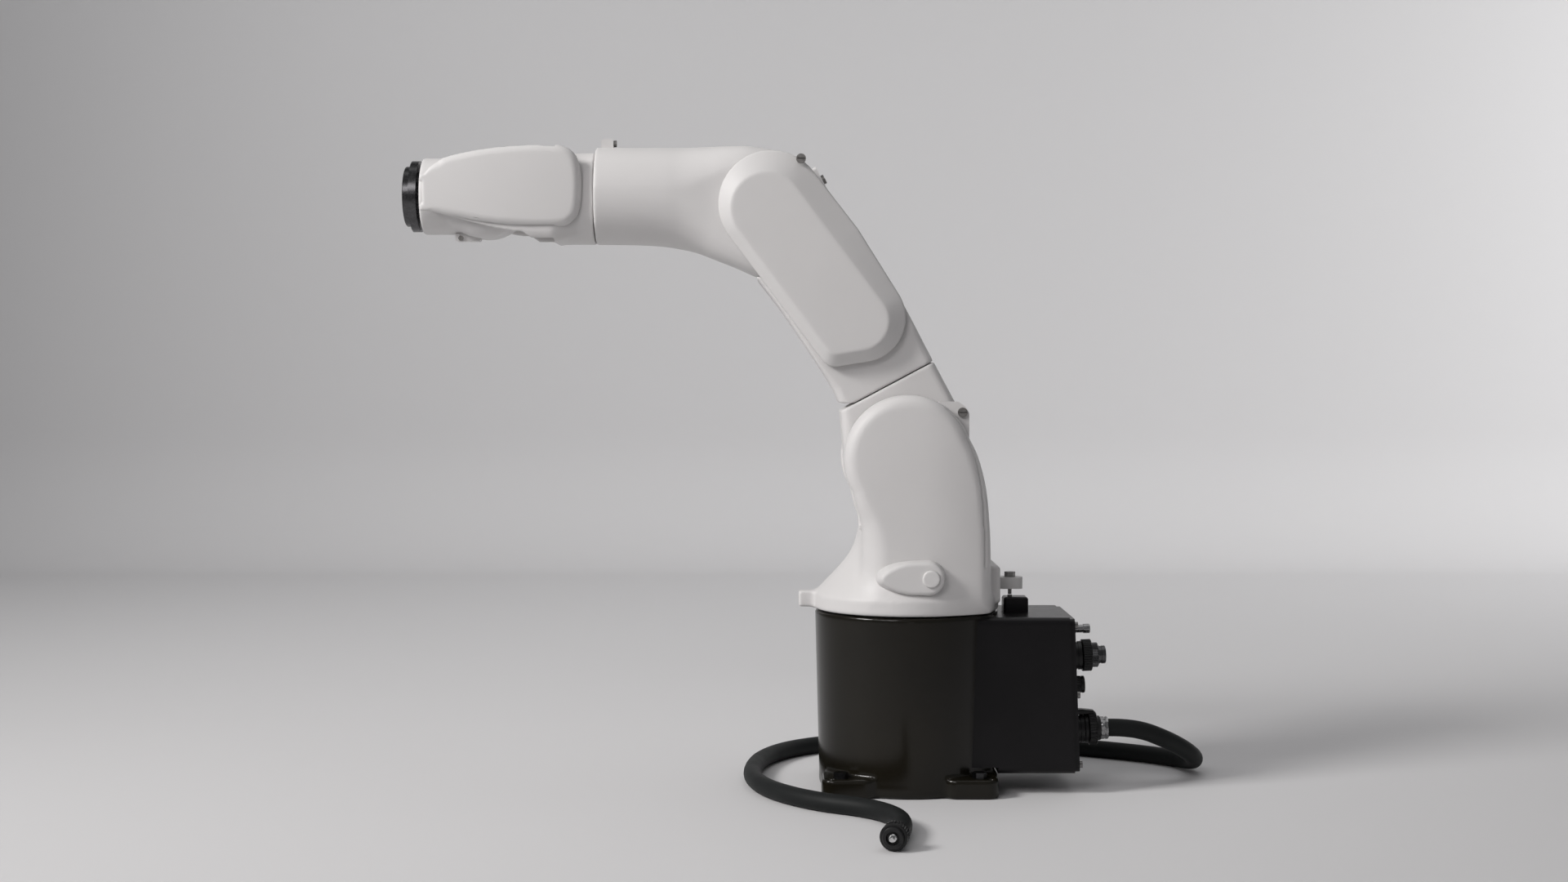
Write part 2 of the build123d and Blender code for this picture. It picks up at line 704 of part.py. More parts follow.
# ---- forearm ----
KNEE_START, KNEE_END = math.radians(-75.4), math.radians(-123)


def knee(angle, radius=KNEE_R):
    """A point around the J3 axis."""
    return (J3[0] + radius * math.cos(angle), J3[1] + radius * math.sin(angle))


with BuildPart() as forearm_casting:
    with BuildSketch(side(-FOREARM_HALF)):
        with BuildLine():
            Spline(
                *xz(
                    [
                        (302, 570.3),
                        (250, 568.6),
                        (224, 562.6),
                        (207, 556.6),
                        (181, 547),
                        knee(KNEE_START),
                    ]
                )
            )
            ThreePointArc(
                *xz(
                    [knee(KNEE_START), knee((KNEE_START + KNEE_END) / 2), knee(KNEE_END)]
                )
            )
            Polyline(
                *xz(
                    [
                        knee(KNEE_END),
                        knee(math.radians(-140), 49.5),
                        knee(math.radians(125), 49.5),
                        (134, 664),
                        (160, 670.6),
                        (181, 671.8),
                        (302, 672),
                        (302, 570.3),
                    ]
                )
            )
        make_face()
    extrude(amount=2 * FOREARM_HALF)
    with BuildSketch(side(-FOREARM_HALF)):
        with Locations((J3[0], -J3[1])):
            Circle(49.5)
    extrude(amount=2 * FOREARM_HALF)
    with BuildSketch(across(60, FOREARM_Z)):
        with Locations((0, -18)):
            RectangleRounded(2 * FOREARM_HALF, 138, 40)
    extrude(amount=260, mode=Mode.INTERSECT)
    with BuildSketch(across(205, FOREARM_Z)):
        Circle(FOREARM_R)
    extrude(amount=J4_X - 205)
    with BuildSketch(across(240, FOREARM_Z)):
        Rectangle(120, 120)
        Circle(FOREARM_R, mode=Mode.SUBTRACT)
    extrude(amount=100, mode=Mode.SUBTRACT)
    # tube bore, front journal bore, hub bore
    with BuildSketch(across(214, FOREARM_Z)):
        Circle(43)
    extrude(amount=102, mode=Mode.SUBTRACT)
    with BuildSketch(across(300, FOREARM_Z)):
        Circle(34)
    extrude(amount=40, mode=Mode.SUBTRACT)
    with BuildSketch(side(-60)):
        with Locations((J3[0], -J3[1])):
            Circle(38)
    extrude(amount=120, mode=Mode.SUBTRACT)
    with BuildSketch(across(150, FOREARM_Z)):
        Circle(20)
    extrude(amount=80, mode=Mode.SUBTRACT)


def elbow_axis(y):
    """A plane square to the J3 axis at this Y."""
    return Plane(origin=(J3[0], y, J3[1]), x_dir=(1, 0, 0), z_dir=(0, 1, 0))


def wrist_axis(x):
    """A plane square to the J4 and J6 axes at this X."""
    return across(x, FOREARM_Z)


turned("j3_motor", elbow_axis(0), [(25 - RUN, -56.5, -49), (38, -49, 18), (14, 18, 24)])
turned("j3_reducer", elbow_axis(0), [(38, 26, 49), (25 - RUN, 49, 56.5)], 12)
turned("j4_motor", wrist_axis(0), [(30, 222, 276), (12, 276, 284)])
turned("j4_reducer", wrist_axis(0), [(43, 284, 312)], 13)

# small lug above the J4 seam with a slotted screw
with BuildPart() as j4_index_lug:
    with BuildSketch(side(-6)):
        with Locations((315, -674.5)):
            RectangleRounded(13, 13, 3)
    extrude(amount=12)
    with BuildSketch(across(205, FOREARM_Z)):
        Circle(FOREARM_R)
    extrude(amount=J4_X - 205, mode=Mode.SUBTRACT)
    with BuildSketch(across(300, 676.5)):
        Circle(1.5)
    extrude(amount=40, mode=Mode.SUBTRACT)
save(j4_index_lug, "j4_index_lug")
back_of_lug = Plane(origin=(308.5, 0, 676.5), x_dir=(0, 1, 0), z_dir=(-1, 0, 0))
with BuildPart() as j4_index_screw:
    add(slotted_screw(3.5, 3.0, 1.5, 10.0, back_of_lug))
save(j4_index_screw, "j4_index_screw")

# stop lug on the elbow hub, between the cheeks, with its screw
lug_angle = math.radians(152)
lug_dir = (math.cos(lug_angle), 0, math.sin(lug_angle))
LUG = Plane(origin=(J3[0], 0, J3[1]), x_dir=(0, 1, 0), z_dir=lug_dir)
with BuildPart() as j3_stop_lug:
    with BuildSketch(LUG.offset(45)):
        RectangleRounded(26, 30, 3)
    extrude(amount=13)
    with BuildSketch(side(-FOREARM_HALF)):
        with Locations((J3[0], -J3[1])):
            Circle(49.5)
    extrude(amount=2 * FOREARM_HALF, mode=Mode.SUBTRACT)
    with BuildSketch(LUG.offset(45)):
        Circle(2.5)
    extrude(amount=20, mode=Mode.SUBTRACT)
save(j3_stop_lug, "j3_stop_lug")
with BuildPart() as j3_stop_screw:
    add(slotted_screw(5.0, 3.5, 2.5, 14.0, LUG.offset(58)))
save(j3_stop_screw, "j3_stop_screw")
with BuildPart() as forearm_bored:
    add(forearm_casting.part)
    add(j3_stop_screw.part, mode=Mode.SUBTRACT)
save(forearm_bored, "forearm_casting")

# ---- wrist fork ----
NECK_X0, NECK_R, WEB_X = 327.4, 50.5, 368.0
PRONG = [
    (345, 571),
    (385, 570.5),
    (400, 582),
    (412, 582),
    (440, 584),
    (466, 591),
    (479, 597),
    (494, 601.5),
    (504, 602),
    (504, 656),
    (478, 660),
    (449, 664.5),
    (398, 669),
    (365, 669),
    (345, 664),
]
with BuildPart() as wrist_fork_casting:
    with BuildSketch(across(NECK_X0, FOREARM_Z)):
        Circle(NECK_R)
    extrude(amount=WEB_X - NECK_X0)
    for start in (-PRONG_OUT, PRONG_IN):
        with BuildSketch(side(start)):
            with BuildLine():
                Polyline(*xz(PRONG), close=True)
            make_face()
        extrude(amount=PRONG_OUT - PRONG_IN)
    with BuildSketch(across(316.5, FOREARM_Z)):
        Circle(34 - RUN)
    extrude(amount=NECK_X0 - 316.5 + 1)
    with BuildSketch(across(WEB_X + 1, FOREARM_Z)):
        Rectangle(56, 46)
    extrude(amount=-35, mode=Mode.SUBTRACT)
    with BuildSketch(across(300, FOREARM_Z)):
        Circle(13)
    extrude(amount=60, mode=Mode.SUBTRACT)
    with BuildSketch(side(-60)):
        with Locations((J5_X, -FOREARM_Z)):
            Circle(20)
    extrude(amount=120, mode=Mode.SUBTRACT)
save(wrist_fork_casting, "wrist_fork_casting")

COVER_EDGE = [
    (506.5, 641),
    (506.5, 603.5),
    (494.6, 603),
    (478.7, 599),
    (466, 594),
    (440.8, 588.4),
    (398.8, 585.8),
    (358, 587.5),
    (345, 595),
    (339.5, 609),
    (339.5, 640),
    (346, 662),
    (364.8, 671),
    (398.5, 671.5),
    (448.9, 667),
    (478.4, 662),
    (500, 657),
]
with BuildPart() as wrist_cover_left:
    with BuildSketch(side(PRONG_IN)):
        with BuildLine():
            Polyline(*xz(COVER_EDGE), close=True)
        make_face()
    extrude(amount=WRIST_COVER_OUT - PRONG_IN)
    chamfer(wrist_cover_left.faces().sort_by(Axis.Y)[-1].edges(), 4.5)
    with BuildSketch(side(PRONG_OUT - 1)):
        with Locations((J5_X, -FOREARM_Z)):
            Circle(27)
    extrude(amount=WRIST_COVER_OUT - PRONG_OUT + 1 - 2.5, mode=Mode.SUBTRACT)
    add(wrist_fork_casting.part, mode=Mode.SUBTRACT)
    with BuildSketch(side(PRONG_IN - 1)):
        with Locations((J5_X, -FOREARM_Z)):
            Circle(20.5)
    extrude(amount=9, mode=Mode.SUBTRACT)
    with BuildSketch(across(NECK_X0 - 5, FOREARM_Z)):
        Circle(NECK_R)
    extrude(amount=WEB_X - NECK_X0 + 5, mode=Mode.SUBTRACT)
save(wrist_cover_left, "wrist_cover_left")
with BuildPart() as wrist_cover_right:
    add(mirror(wrist_cover_left.part, about=Plane.XZ))
save(wrist_cover_right, "wrist_cover_right")


def bend_axis(y):
    """A plane square to the J5 axis at this Y."""
    return Plane(origin=(J5_X, y, FOREARM_Z), x_dir=(1, 0, 0), z_dir=(0, 1, 0))


turned("j5_reducer", bend_axis(0), [(26, PRONG_OUT, WRIST_COVER_OUT - 2.5)], 6)
turned("j5_motor", Plane(origin=(350.5, 0, FOREARM_Z), z_dir=(0, 1, 0)), [(14, -26, 22), (5, 22, 27)])

# ---- wrist head ----
with BuildPart() as head_casting:
    with BuildSketch(side(-HEAD_HALF)):
        with Locations((J5_X, -FOREARM_Z)):
            Circle(HEAD_R)
    extrude(amount=2 * HEAD_HALF)
    fillet(head_casting.edges().filter_by(GeomType.CIRCLE), 6.0)
    with BuildSketch(across(J5_X, FOREARM_Z)):
        Circle(HEAD_NOSE_R)
    extrude(amount=HEAD_END - J5_X)
    with BuildSketch(across(J5_X, FOREARM_Z)):
        for sy in (-1, 1):
            with Locations((sy * (HEAD_HALF + 10), 0)):
                Rectangle(20, 100)
    extrude(amount=80, mode=Mode.SUBTRACT)
    with BuildSketch(side(-PRONG_OUT)):
        with Locations((J5_X, -FOREARM_Z)):
            Circle(20 - RUN)
    extrude(amount=2 * PRONG_OUT)
    with BuildSketch(side(-60)):
        with Locations((J5_X - 8, -FOREARM_Z)):
            Circle(7)
    extrude(amount=120, mode=Mode.SUBTRACT)
    with BuildSketch(across(J5_X - 5, FOREARM_Z)):
        Circle(32)
    extrude(amount=58, mode=Mode.SUBTRACT)
    with BuildSketch(across(480, FOREARM_Z)):
        Circle(26)
    extrude(amount=60, mode=Mode.SUBTRACT)
save(head_casting, "head_casting")
turned("j6_motor", wrist_axis(0), [(24, 442, 470), (8, 470, 476)])
turned("j6_reducer", wrist_axis(0), [(32, 477, 494)], 9)

# index lug under the head with its slotted screw
with BuildPart() as j5_index_lug:
    with BuildSketch(side(-2)):
        with Locations((461, -578)):
            RectangleRounded(26, 9, 2)
    extrude(amount=14)
    with BuildSketch(across(J5_X - 40, FOREARM_Z)):
        Circle(HEAD_NOSE_R)
    extrude(amount=120, mode=Mode.SUBTRACT)
    with BuildSketch(side(-HEAD_HALF)):
        with Locations((J5_X, -FOREARM_Z)):
            Circle(HEAD_R)
    extrude(amount=2 * HEAD_HALF, mode=Mode.SUBTRACT)
    with BuildSketch(side(0)):
        with Locations((468, -576.7)):
            Circle(1.2)
    extrude(amount=20, mode=Mode.SUBTRACT)
save(j5_index_lug, "j5_index_lug")
lug_side = Plane(origin=(468, 12, 576.7), x_dir=(1, 0, 0), z_dir=(0, 1, 0))
with BuildPart() as j5_index_screw:
    add(slotted_screw(2.6, 2.5, 1.2, 8.0, lug_side))
save(j5_index_screw, "j5_index_screw")

# ---- tool flange ----
with BuildPart() as tool_flange:
    with BuildSketch(across(FLANGE_X0, FOREARM_Z)):
        Circle(FLANGE_R_BIG)
    extrude(amount=FLANGE_X1 - FLANGE_X0)
    with BuildSketch(across(FLANGE_X1, FOREARM_Z)):
        Circle(FLANGE_R)
    extrude(amount=FLANGE_X2 - FLANGE_X1)
    chamfer(tool_flange.edges().filter_by(GeomType.CIRCLE).group_by(Axis.X)[-1], 0.8)
    with BuildSketch(across(496, FOREARM_Z)):
        Circle(26 - RUN)
    extrude(amount=FLANGE_X0 - 496)
    with BuildSketch(across(FLANGE_X2 - 6.5, FOREARM_Z)):
        Circle(FLANGE_BORE_R)
    extrude(amount=10, mode=Mode.SUBTRACT)
    with BuildSketch(across(490, FOREARM_Z)):
        Circle(8)
    extrude(amount=40, mode=Mode.SUBTRACT)
    with BuildSketch(across(FLANGE_X2 - 12, FOREARM_Z)):
        with PolarLocations(FLANGE_PCD_R, 4, start_angle=45):
            Circle(FLANGE_HOLE_R)
        with Locations((0, FLANGE_PCD_R)):
            Circle(3.0)
    extrude(amount=20, mode=Mode.SUBTRACT)
ring = [
    Plane(
        origin=(FLANGE_X2 - 6.5, 20.5 * math.cos(t), FOREARM_Z + 20.5 * math.sin(t)),
        x_dir=(0, 1, 0),
        z_dir=(1, 0, 0),
    )
    for t in [math.radians(60 * i) for i in range(6)]
]
flange_caps = [cap_screw(2.75, 3.0, 1.5, 14.0, spot) for spot in ring]
with BuildPart() as flange_screws:
    for cap in flange_caps:
        add(cap)
save(flange_screws, "flange_screws")
pockets = [disc(3.0, 0, 20, spot) for spot in ring]
with BuildPart() as tool_flange_bored:
    add(tool_flange.part)
    for pocket, cap in zip(pockets, flange_caps):
        add(pocket, mode=Mode.SUBTRACT)
        add(cap, mode=Mode.SUBTRACT)
save(tool_flange_bored, "tool_flange")

# ---- cable ----
gland_mouth = power_at.from_local_coords((0, 0, GLAND_END - 3))
CORD_ROUTE = [
    (gland_mouth.X, gland_mouth.Y, gland_mouth.Z),
    (-241.0, 0.0, 60.6),
    (-281.0, -4.0, 45.0),
    (-310.0, -26.0, 26.0),
    (-319.0, -68.0, 11.0),
    (-298.0, -108.0, 9.5),
    (-245.0, -149.0, 9.5),
    (-170.0, -190.0, 9.5),
    (-95.0, -212.0, 9.5),
    (-15.0, -216.0, 9.5),
    (62.0, -204.0, 9.5),
    (118.0, -168.0, 9.5),
    (152.0, -108.0, 9.5),
    (164.0, -40.0, 9.5),
    (162.0, 30.0, 9.5),
    (140.0, 92.0, 9.5),
    (98.0, 146.0, 9.5),
    (48.0, 176.0, 9.5),
    (20.0, 218.0, 9.5),
    (16.0, 268.0, 9.5),
    (26.0, 314.0, 9.5),
]


def tangent_radii(route):
    """The radius of each bend: 0.45 of the shorter run over tan(half turn)."""
    radii = []
    for a, b, c in zip(route, route[1:], route[2:]):
        before, after = Vector(*b) - Vector(*a), Vector(*c) - Vector(*b)
        half = math.radians(before.get_angle(after)) / 2
        radii.append(0.45 * min(before.length, after.length) / math.tan(half))
    return radii


radii = tangent_radii(CORD_ROUTE)
print("bend radii", [round(r, 1) for r in radii])
with BuildPart() as cable:
    with BuildLine() as cable_line:
        FilletPolyline(*CORD_ROUTE, radius=radii)
    first = Vector(*CORD_ROUTE[0])
    with BuildSketch(Plane(origin=first, z_dir=Vector(*CORD_ROUTE[1]) - first)):
        Circle(CORD_R)
    sweep()
cable_length = cable_line.wires()[0].length
print("cable length", round(cable_length, 1))
print("tube volume ratio", round(cable.part.volume / (cable_length * math.pi * CORD_R**2), 4))
print("lowest point of the cable", round(cable.part.bounding_box().min.Z, 3))
save(cable, "cable")
end = Vector(*CORD_ROUTE[-1])
heading = end - Vector(*CORD_ROUTE[-2])
END = Plane(origin=(end.X, end.Y, 13.2), x_dir=(0, 0, 1), z_dir=(heading.X, heading.Y, 0))
turned("cable_connector", END, [(11.5, 0, 5), (13.0, 5, 19), (10.0, 19, 23)], 4)
turned("cable_connector_pin", END, [(4, 6, 24), (2.5, 24, 29)])
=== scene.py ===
import json
import math

import bpy
import bmesh
import numpy as np
import openvdb
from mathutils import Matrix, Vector


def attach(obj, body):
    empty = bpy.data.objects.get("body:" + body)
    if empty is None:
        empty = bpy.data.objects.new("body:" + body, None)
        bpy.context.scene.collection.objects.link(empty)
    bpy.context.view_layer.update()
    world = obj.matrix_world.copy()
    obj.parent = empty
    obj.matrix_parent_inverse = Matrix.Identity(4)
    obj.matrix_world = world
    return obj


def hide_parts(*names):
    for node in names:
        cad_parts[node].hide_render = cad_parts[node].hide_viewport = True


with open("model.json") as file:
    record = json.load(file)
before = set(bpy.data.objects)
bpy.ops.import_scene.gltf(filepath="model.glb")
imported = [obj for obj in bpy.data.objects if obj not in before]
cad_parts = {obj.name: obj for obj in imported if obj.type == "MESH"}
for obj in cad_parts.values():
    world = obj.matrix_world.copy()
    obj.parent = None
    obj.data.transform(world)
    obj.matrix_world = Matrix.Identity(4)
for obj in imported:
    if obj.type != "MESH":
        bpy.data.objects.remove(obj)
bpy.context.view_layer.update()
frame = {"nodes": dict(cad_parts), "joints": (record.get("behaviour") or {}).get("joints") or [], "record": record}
MM = 0.001

# ---------------------------------------------------------------- camera
camera_data = bpy.data.cameras.new("camera")
camera_data.lens = 50.0
camera_data.sensor_width = 36.0
camera = bpy.data.objects.new("camera", camera_data)
camera.location = (0.1295, 2.3, 0.434)
camera.rotation_euler = (math.radians(90 - 1.75), 0, math.radians(180))
bpy.context.scene.collection.objects.link(camera)
bpy.context.scene.camera = camera


# ---------------------------------------------------------------- materials
def shader(name, color, rough, metal=0.0):
    """A Principled material and its node tree."""
    mat = bpy.data.materials.new(name)
    mat.use_nodes = True
    tree = mat.node_tree
    bsdf = tree.nodes["Principled BSDF"]
    bsdf.inputs["Base Color"].default_value = (*color, 1)
    bsdf.inputs["Roughness"].default_value = rough
    bsdf.inputs["Metallic"].default_value = metal
    return mat, tree, bsdf


def noise(tree, scale, detail=4.0):
    """Noise in the object's own space."""
    coord = tree.nodes.new("ShaderNodeTexCoord")
    tex = tree.nodes.new("ShaderNodeTexNoise")
    tex.inputs["Scale"].default_value = scale
    tex.inputs["Detail"].default_value = detail
    tree.links.new(coord.outputs["Object"], tex.inputs["Vector"])
    return tex.outputs["Fac"]


def ramp(tree, fac, low, high):
    """A colour that runs from low to high, each given as (position, colour)."""
    node = tree.nodes.new("ShaderNodeValToRGB")
    tree.links.new(fac, node.inputs["Fac"])
    for element, (position, color) in zip(node.color_ramp.elements, (low, high)):
        element.position = position
        element.color = (*color, 1)
    return node.outputs["Color"]


def to_range(tree, fac, low, high):
    """The factor mapped to a range of values."""
    node = tree.nodes.new("ShaderNodeMapRange")
    node.inputs["To Min"].default_value = low
    node.inputs["To Max"].default_value = high
    tree.links.new(fac, node.inputs["Value"])
    return node.outputs["Result"]


def bump(tree, bsdf, height, strength, distance):
    """Surface relief of a given strength and depth in metres."""
    node = tree.nodes.new("ShaderNodeBump")
    node.inputs["Strength"].default_value = strength
    node.inputs["Distance"].default_value = distance
    tree.links.new(height, node.inputs["Height"])
    tree.links.new(node.outputs["Normal"], bsdf.inputs["Normal"])


def painted(name, color, rough, grain, relief, tint, specular=0.4):
    """Paint or moulded skin: faint tone drift, fine orange peel and uneven gloss."""
    mat, tree, bsdf = shader(name, color, rough)
    bsdf.inputs["Specular IOR Level"].default_value = specular
    drift = noise(tree, 9.0, 3.0)
    dark = tuple(c * (1 - tint) for c in color)
    light = tuple(min(1.0, c * (1 + tint * 0.6)) for c in color)
    tree.links.new(ramp(tree, drift, (0.3, dark), (0.7, light)), bsdf.inputs["Base Color"])
    gloss = noise(tree, 60.0, 5.0)
    tree.links.new(to_range(tree, gloss, rough * 0.88, rough * 1.14), bsdf.inputs["Roughness"])
    bump(tree, bsdf, noise(tree, grain, 3.0), relief, 0.0003)
    return mat


def machined(name, color, rough, grain=420.0):
    """Bare or plated metal with fine tool marks."""
    mat, tree, bsdf = shader(name, color, rough, metal=1.0)
    marks = noise(tree, grain)
    dark = tuple(c * 0.8 for c in color)
    tree.links.new(ramp(tree, marks, (0.35, dark), (0.65, color)), bsdf.inputs["Base Color"])
    tree.links.new(to_range(tree, marks, rough * 0.75, rough * 1.3), bsdf.inputs["Roughness"])
    bump(tree, bsdf, marks, 0.12, 0.0001)
    return mat


# name, colour, roughness, grain per metre, strength of relief, tone drift, specular level
WHITE = painted("white_paint", (0.61, 0.598, 0.594), 0.5, 900.0, 0.05, 0.02)
WHITE_COVER = painted("white_cover", (0.605, 0.594, 0.59), 0.52, 1100.0, 0.05, 0.02)
BLACK = painted("black_paint", (0.0085, 0.0072, 0.0045), 0.2, 260.0, 0.10, 0.35, 0.3)
BLACK_BOX = painted("black_box_paint", (0.0055, 0.005, 0.0058), 0.3, 480.0, 0.22, 0.35, 0.22)
DARK = painted("dark_plastic", (0.011, 0.011, 0.0115), 0.36, 700.0, 0.12, 0.25, 0.32)
RUBBER = painted("cable_jacket", (0.0085, 0.0098, 0.0098), 0.58, 1300.0, 0.3, 0.3, 0.22)
MOTOR = painted("motor_case", (0.03, 0.03, 0.032), 0.4, 600.0, 0.1, 0.2)
# name, colour, roughness
STEEL = machined("steel", (0.24, 0.235, 0.23), 0.34)
SCREW_STEEL = machined("screw_steel", (0.3, 0.29, 0.28), 0.45)
DARK_STEEL = machined("dark_steel", (0.10, 0.10, 0.103), 0.26, grain=300.0)
BLACK_STEEL = machined("black_steel", (0.06, 0.06, 0.062), 0.3)
PLATED = machined("plated_metal", (0.34, 0.34, 0.345), 0.26)
ALUMINIUM = machined("aluminium", (0.5, 0.5, 0.51), 0.35)
CHROME = machined("chrome", (0.7, 0.7, 0.7), 0.12)


# ---------------------------------------------------------------- solid fields
class Field:
    """A block of sample points, in millimetres, on which signed distances are worked out."""

    def __init__(self, low, high, step):
        self.step = step
        self.low = np.array(low, float) - 3 * step
        count = np.ceil((np.array(high, float) + 3 * step - self.low) / step).astype(int) + 1
        axes = [self.low[i] + step * np.arange(count[i]) for i in range(3)]
        self.X = axes[0][:, None, None]
        self.Y = axes[1][None, :, None]
        self.Z = axes[2][None, None, :]
        self.shape = tuple(count)


def blend(a, b, k):
    """Smooth union."""
    h = np.clip(0.5 + 0.5 * (b - a) / k, 0, 1)
    return b * (1 - h) + a * h - k * h * (1 - h)


def meet(a, b, k=0.01):
    """Smooth intersection."""
    return -blend(-a, -b, k)


def cut(a, b, k=0.01):
    """Smooth difference."""
    return meet(a, -b, k)


def rise(v, start, end):
    """From 0 at the start to 1 at the end in a straight line, and level outside."""
    return np.clip((v - start) / (end - start), 0, 1)


def ease(v, start, end):
    """The same as rise, but with soft ends."""
    t = rise(v, start, end)
    return t * t * (3 - 2 * t)


def on_circle(x, z, radius, degrees):
    """A point on a circle in the side view, counted from forward up."""
    t = math.radians(degrees)
    return (x + radius * math.cos(t), z + radius * math.sin(t))


def outline(U, V, points):
    """Signed distance to a closed polygon in the U, V plane."""
    best = np.full(np.broadcast(U, V).shape, 1e9)
    inside = np.zeros(best.shape, bool)
    for (ax, ay), (bx, by) in zip(points, points[1:] + points[:1]):
        ex, ey = bx - ax, by - ay
        wx, wy = U - ax, V - ay
        t = np.clip((wx * ex + wy * ey) / (ex * ex + ey * ey), 0, 1)
        best = np.minimum(best, (wx - ex * t) ** 2 + (wy - ey * t) ** 2)
        above_a, above_b = V >= ay, V >= by
        left = ex * wy > ey * wx
        inside ^= (above_a & ~above_b & ~left) | (~above_a & above_b & left)
    return np.where(inside, -1, 1) * np.sqrt(best)


def hull(circles, steps=48):
    """Corner points of the convex hull of some circles (x, y, radius)."""
    pts = []
    for x, y, r in circles:
        for i in range(steps):
            t = 2 * math.pi * i / steps
            pts.append((x + r * math.cos(t), y + r * math.sin(t)))
    pts = sorted(set(pts))

    def chain(items):
        out = []
        for p in items:
            while len(out) > 1 and (out[-1][0] - out[-2][0]) * (p[1] - out[-2][1]) <= (
                out[-1][1] - out[-2][1]
            ) * (p[0] - out[-2][0]):
                out.pop()
            out.append(p)
        return out[:-1]

    return chain(pts) + chain(pts[::-1])


def smooth_line(points, per=6):
    """A Catmull-Rom curve through the points, as more points."""
    out = []
    last = len(points) - 1
    for i in range(last):
        p0, p1, p2, p3 = (points[max(0, min(last, i + j))] for j in (-1, 0, 1, 2))
        for s in range(per):
            t = s / per
            weights = (
                -0.5 * t + t * t - 0.5 * t**3,
                1 - 2.5 * t * t + 1.5 * t**3,
                0.5 * t + 2 * t * t - 1.5 * t**3,
                -0.5 * t * t + 0.5 * t**3,
            )
            out.append(tuple(sum(w * p[k] for w, p in zip(weights, (p0, p1, p2, p3))) for k in (0, 1)))
    out.append(points[last])
    return out


def slab(flat, across, r):
    """A shape of outline distance flat and thickness distance across, its edges rounded by r."""
    a, b = flat + r, across + r
    return np.minimum(np.maximum(a, b), 0) + np.sqrt(np.maximum(a, 0) ** 2 + np.maximum(b, 0) ** 2) - r


def between(v, low, high):
    """Signed distance to the span from low to high."""
    return np.maximum(low - v, v - high)


def box(f, low, high, r):
    """Signed distance to a block from corner to corner, its edges rounded by r."""
    q = [np.abs(v - (a + b) / 2) - (b - a) / 2 + r for v, a, b in zip((f.X, f.Y, f.Z), low, high)]
    out = np.sqrt(sum(np.maximum(v, 0) ** 2 for v in q))
    return out + np.minimum(np.maximum(np.maximum(q[0], q[1]), q[2]), 0) - r


def place(name, bm, material, body, replaces):
    """Turns a bmesh into a smooth-shaded piece that rides on a body and stands for CAD nodes."""
    bmesh.ops.recalc_face_normals(bm, faces=bm.faces)
    mesh = bpy.data.meshes.new(name)
    bm.to_mesh(mesh)
    bm.free()
    mesh.materials.append(material)
    mesh.polygons.foreach_set("use_smooth", [True] * len(mesh.polygons))
    obj = bpy.data.objects.new(name, mesh)
    bpy.context.scene.collection.objects.link(obj)
    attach(obj, body)
    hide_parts(*replaces)
    return obj


def skin(name, f, d, material, body, replaces, relax=2):
    """The closed surface where the distance d is zero, relaxed a little."""
    band = 4 * f.step
    grid = openvdb.FloatGrid(band)
    grid.copyFromArray(np.broadcast_to(np.clip(d, -band, band), f.shape).astype(np.float32))
    points, quads = grid.convertToQuads(isovalue=0.0)
    verts = (points * f.step + f.low) * MM
    raw = bpy.data.meshes.new(name + "_raw")
    raw.from_pydata(verts.tolist(), [], quads[:, ::-1].tolist())
    bm = bmesh.new()
    bm.from_mesh(raw)
    bpy.data.meshes.remove(raw)
    for _ in range(relax):
        bmesh.ops.smooth_vert(
            bm, verts=bm.verts, factor=0.5, use_axis_x=True, use_axis_y=True, use_axis_z=True
        )
    place(name, bm, material, body, replaces)


def lathe(name, node, origin, axis, stations, material, body, flutes=0, depth=0.0, ring=False):
    """A turned piece from (height, radius, fluted) stations. A ring joins its last station to its first."""
    axis = Vector(axis).normalized()
    u = axis.cross(Vector((0, 0, 1))).normalized()
    v = axis.cross(u)
    count = 120
    bm = bmesh.new()
    rows = []
    for height, radius, fluted in stations:
        row = []
        for i in range(count):
            t = 2 * math.pi * i / count
            r = radius - fluted * depth * (0.5 + 0.5 * math.cos(flutes * t))
            at = Vector(origin) + axis * height + (u * math.cos(t) + v * math.sin(t)) * r
            row.append(bm.verts.new(at * MM))
        rows.append(row)
    pairs = list(zip(rows, rows[1:])) + ([(rows[-1], rows[0])] if ring else [])
    for a, b in pairs:
        for i in range(count):
            j = (i + 1) % count
            bm.faces.new((a[i], a[j], b[j], b[i]))
    if not ring:
        bm.faces.new(rows[0])
        bm.faces.new(rows[-1])
    obj = place(name, bm, material, body, (node,))
    obj.data.set_sharp_from_angle(angle=math.radians(32))
    return obj


# ---------------------------------------------------------------- pivots and shared sizes, millimetres
PIVOT = {joint["name"]: [v / MM for v in joint["pos_m"]] for joint in frame["joints"]}
J2_Z = PIVOT["j2_shoulder"][2]
J3_X, _, J3_Z = PIVOT["j3_elbow"]
J5_X, _, J5_Z = PIVOT["j5_wrist_bend"]
ARM_LEN = math.hypot(J3_X, J3_Z - J2_Z)
LEAN = math.atan2(J3_X, J3_Z - J2_Z)

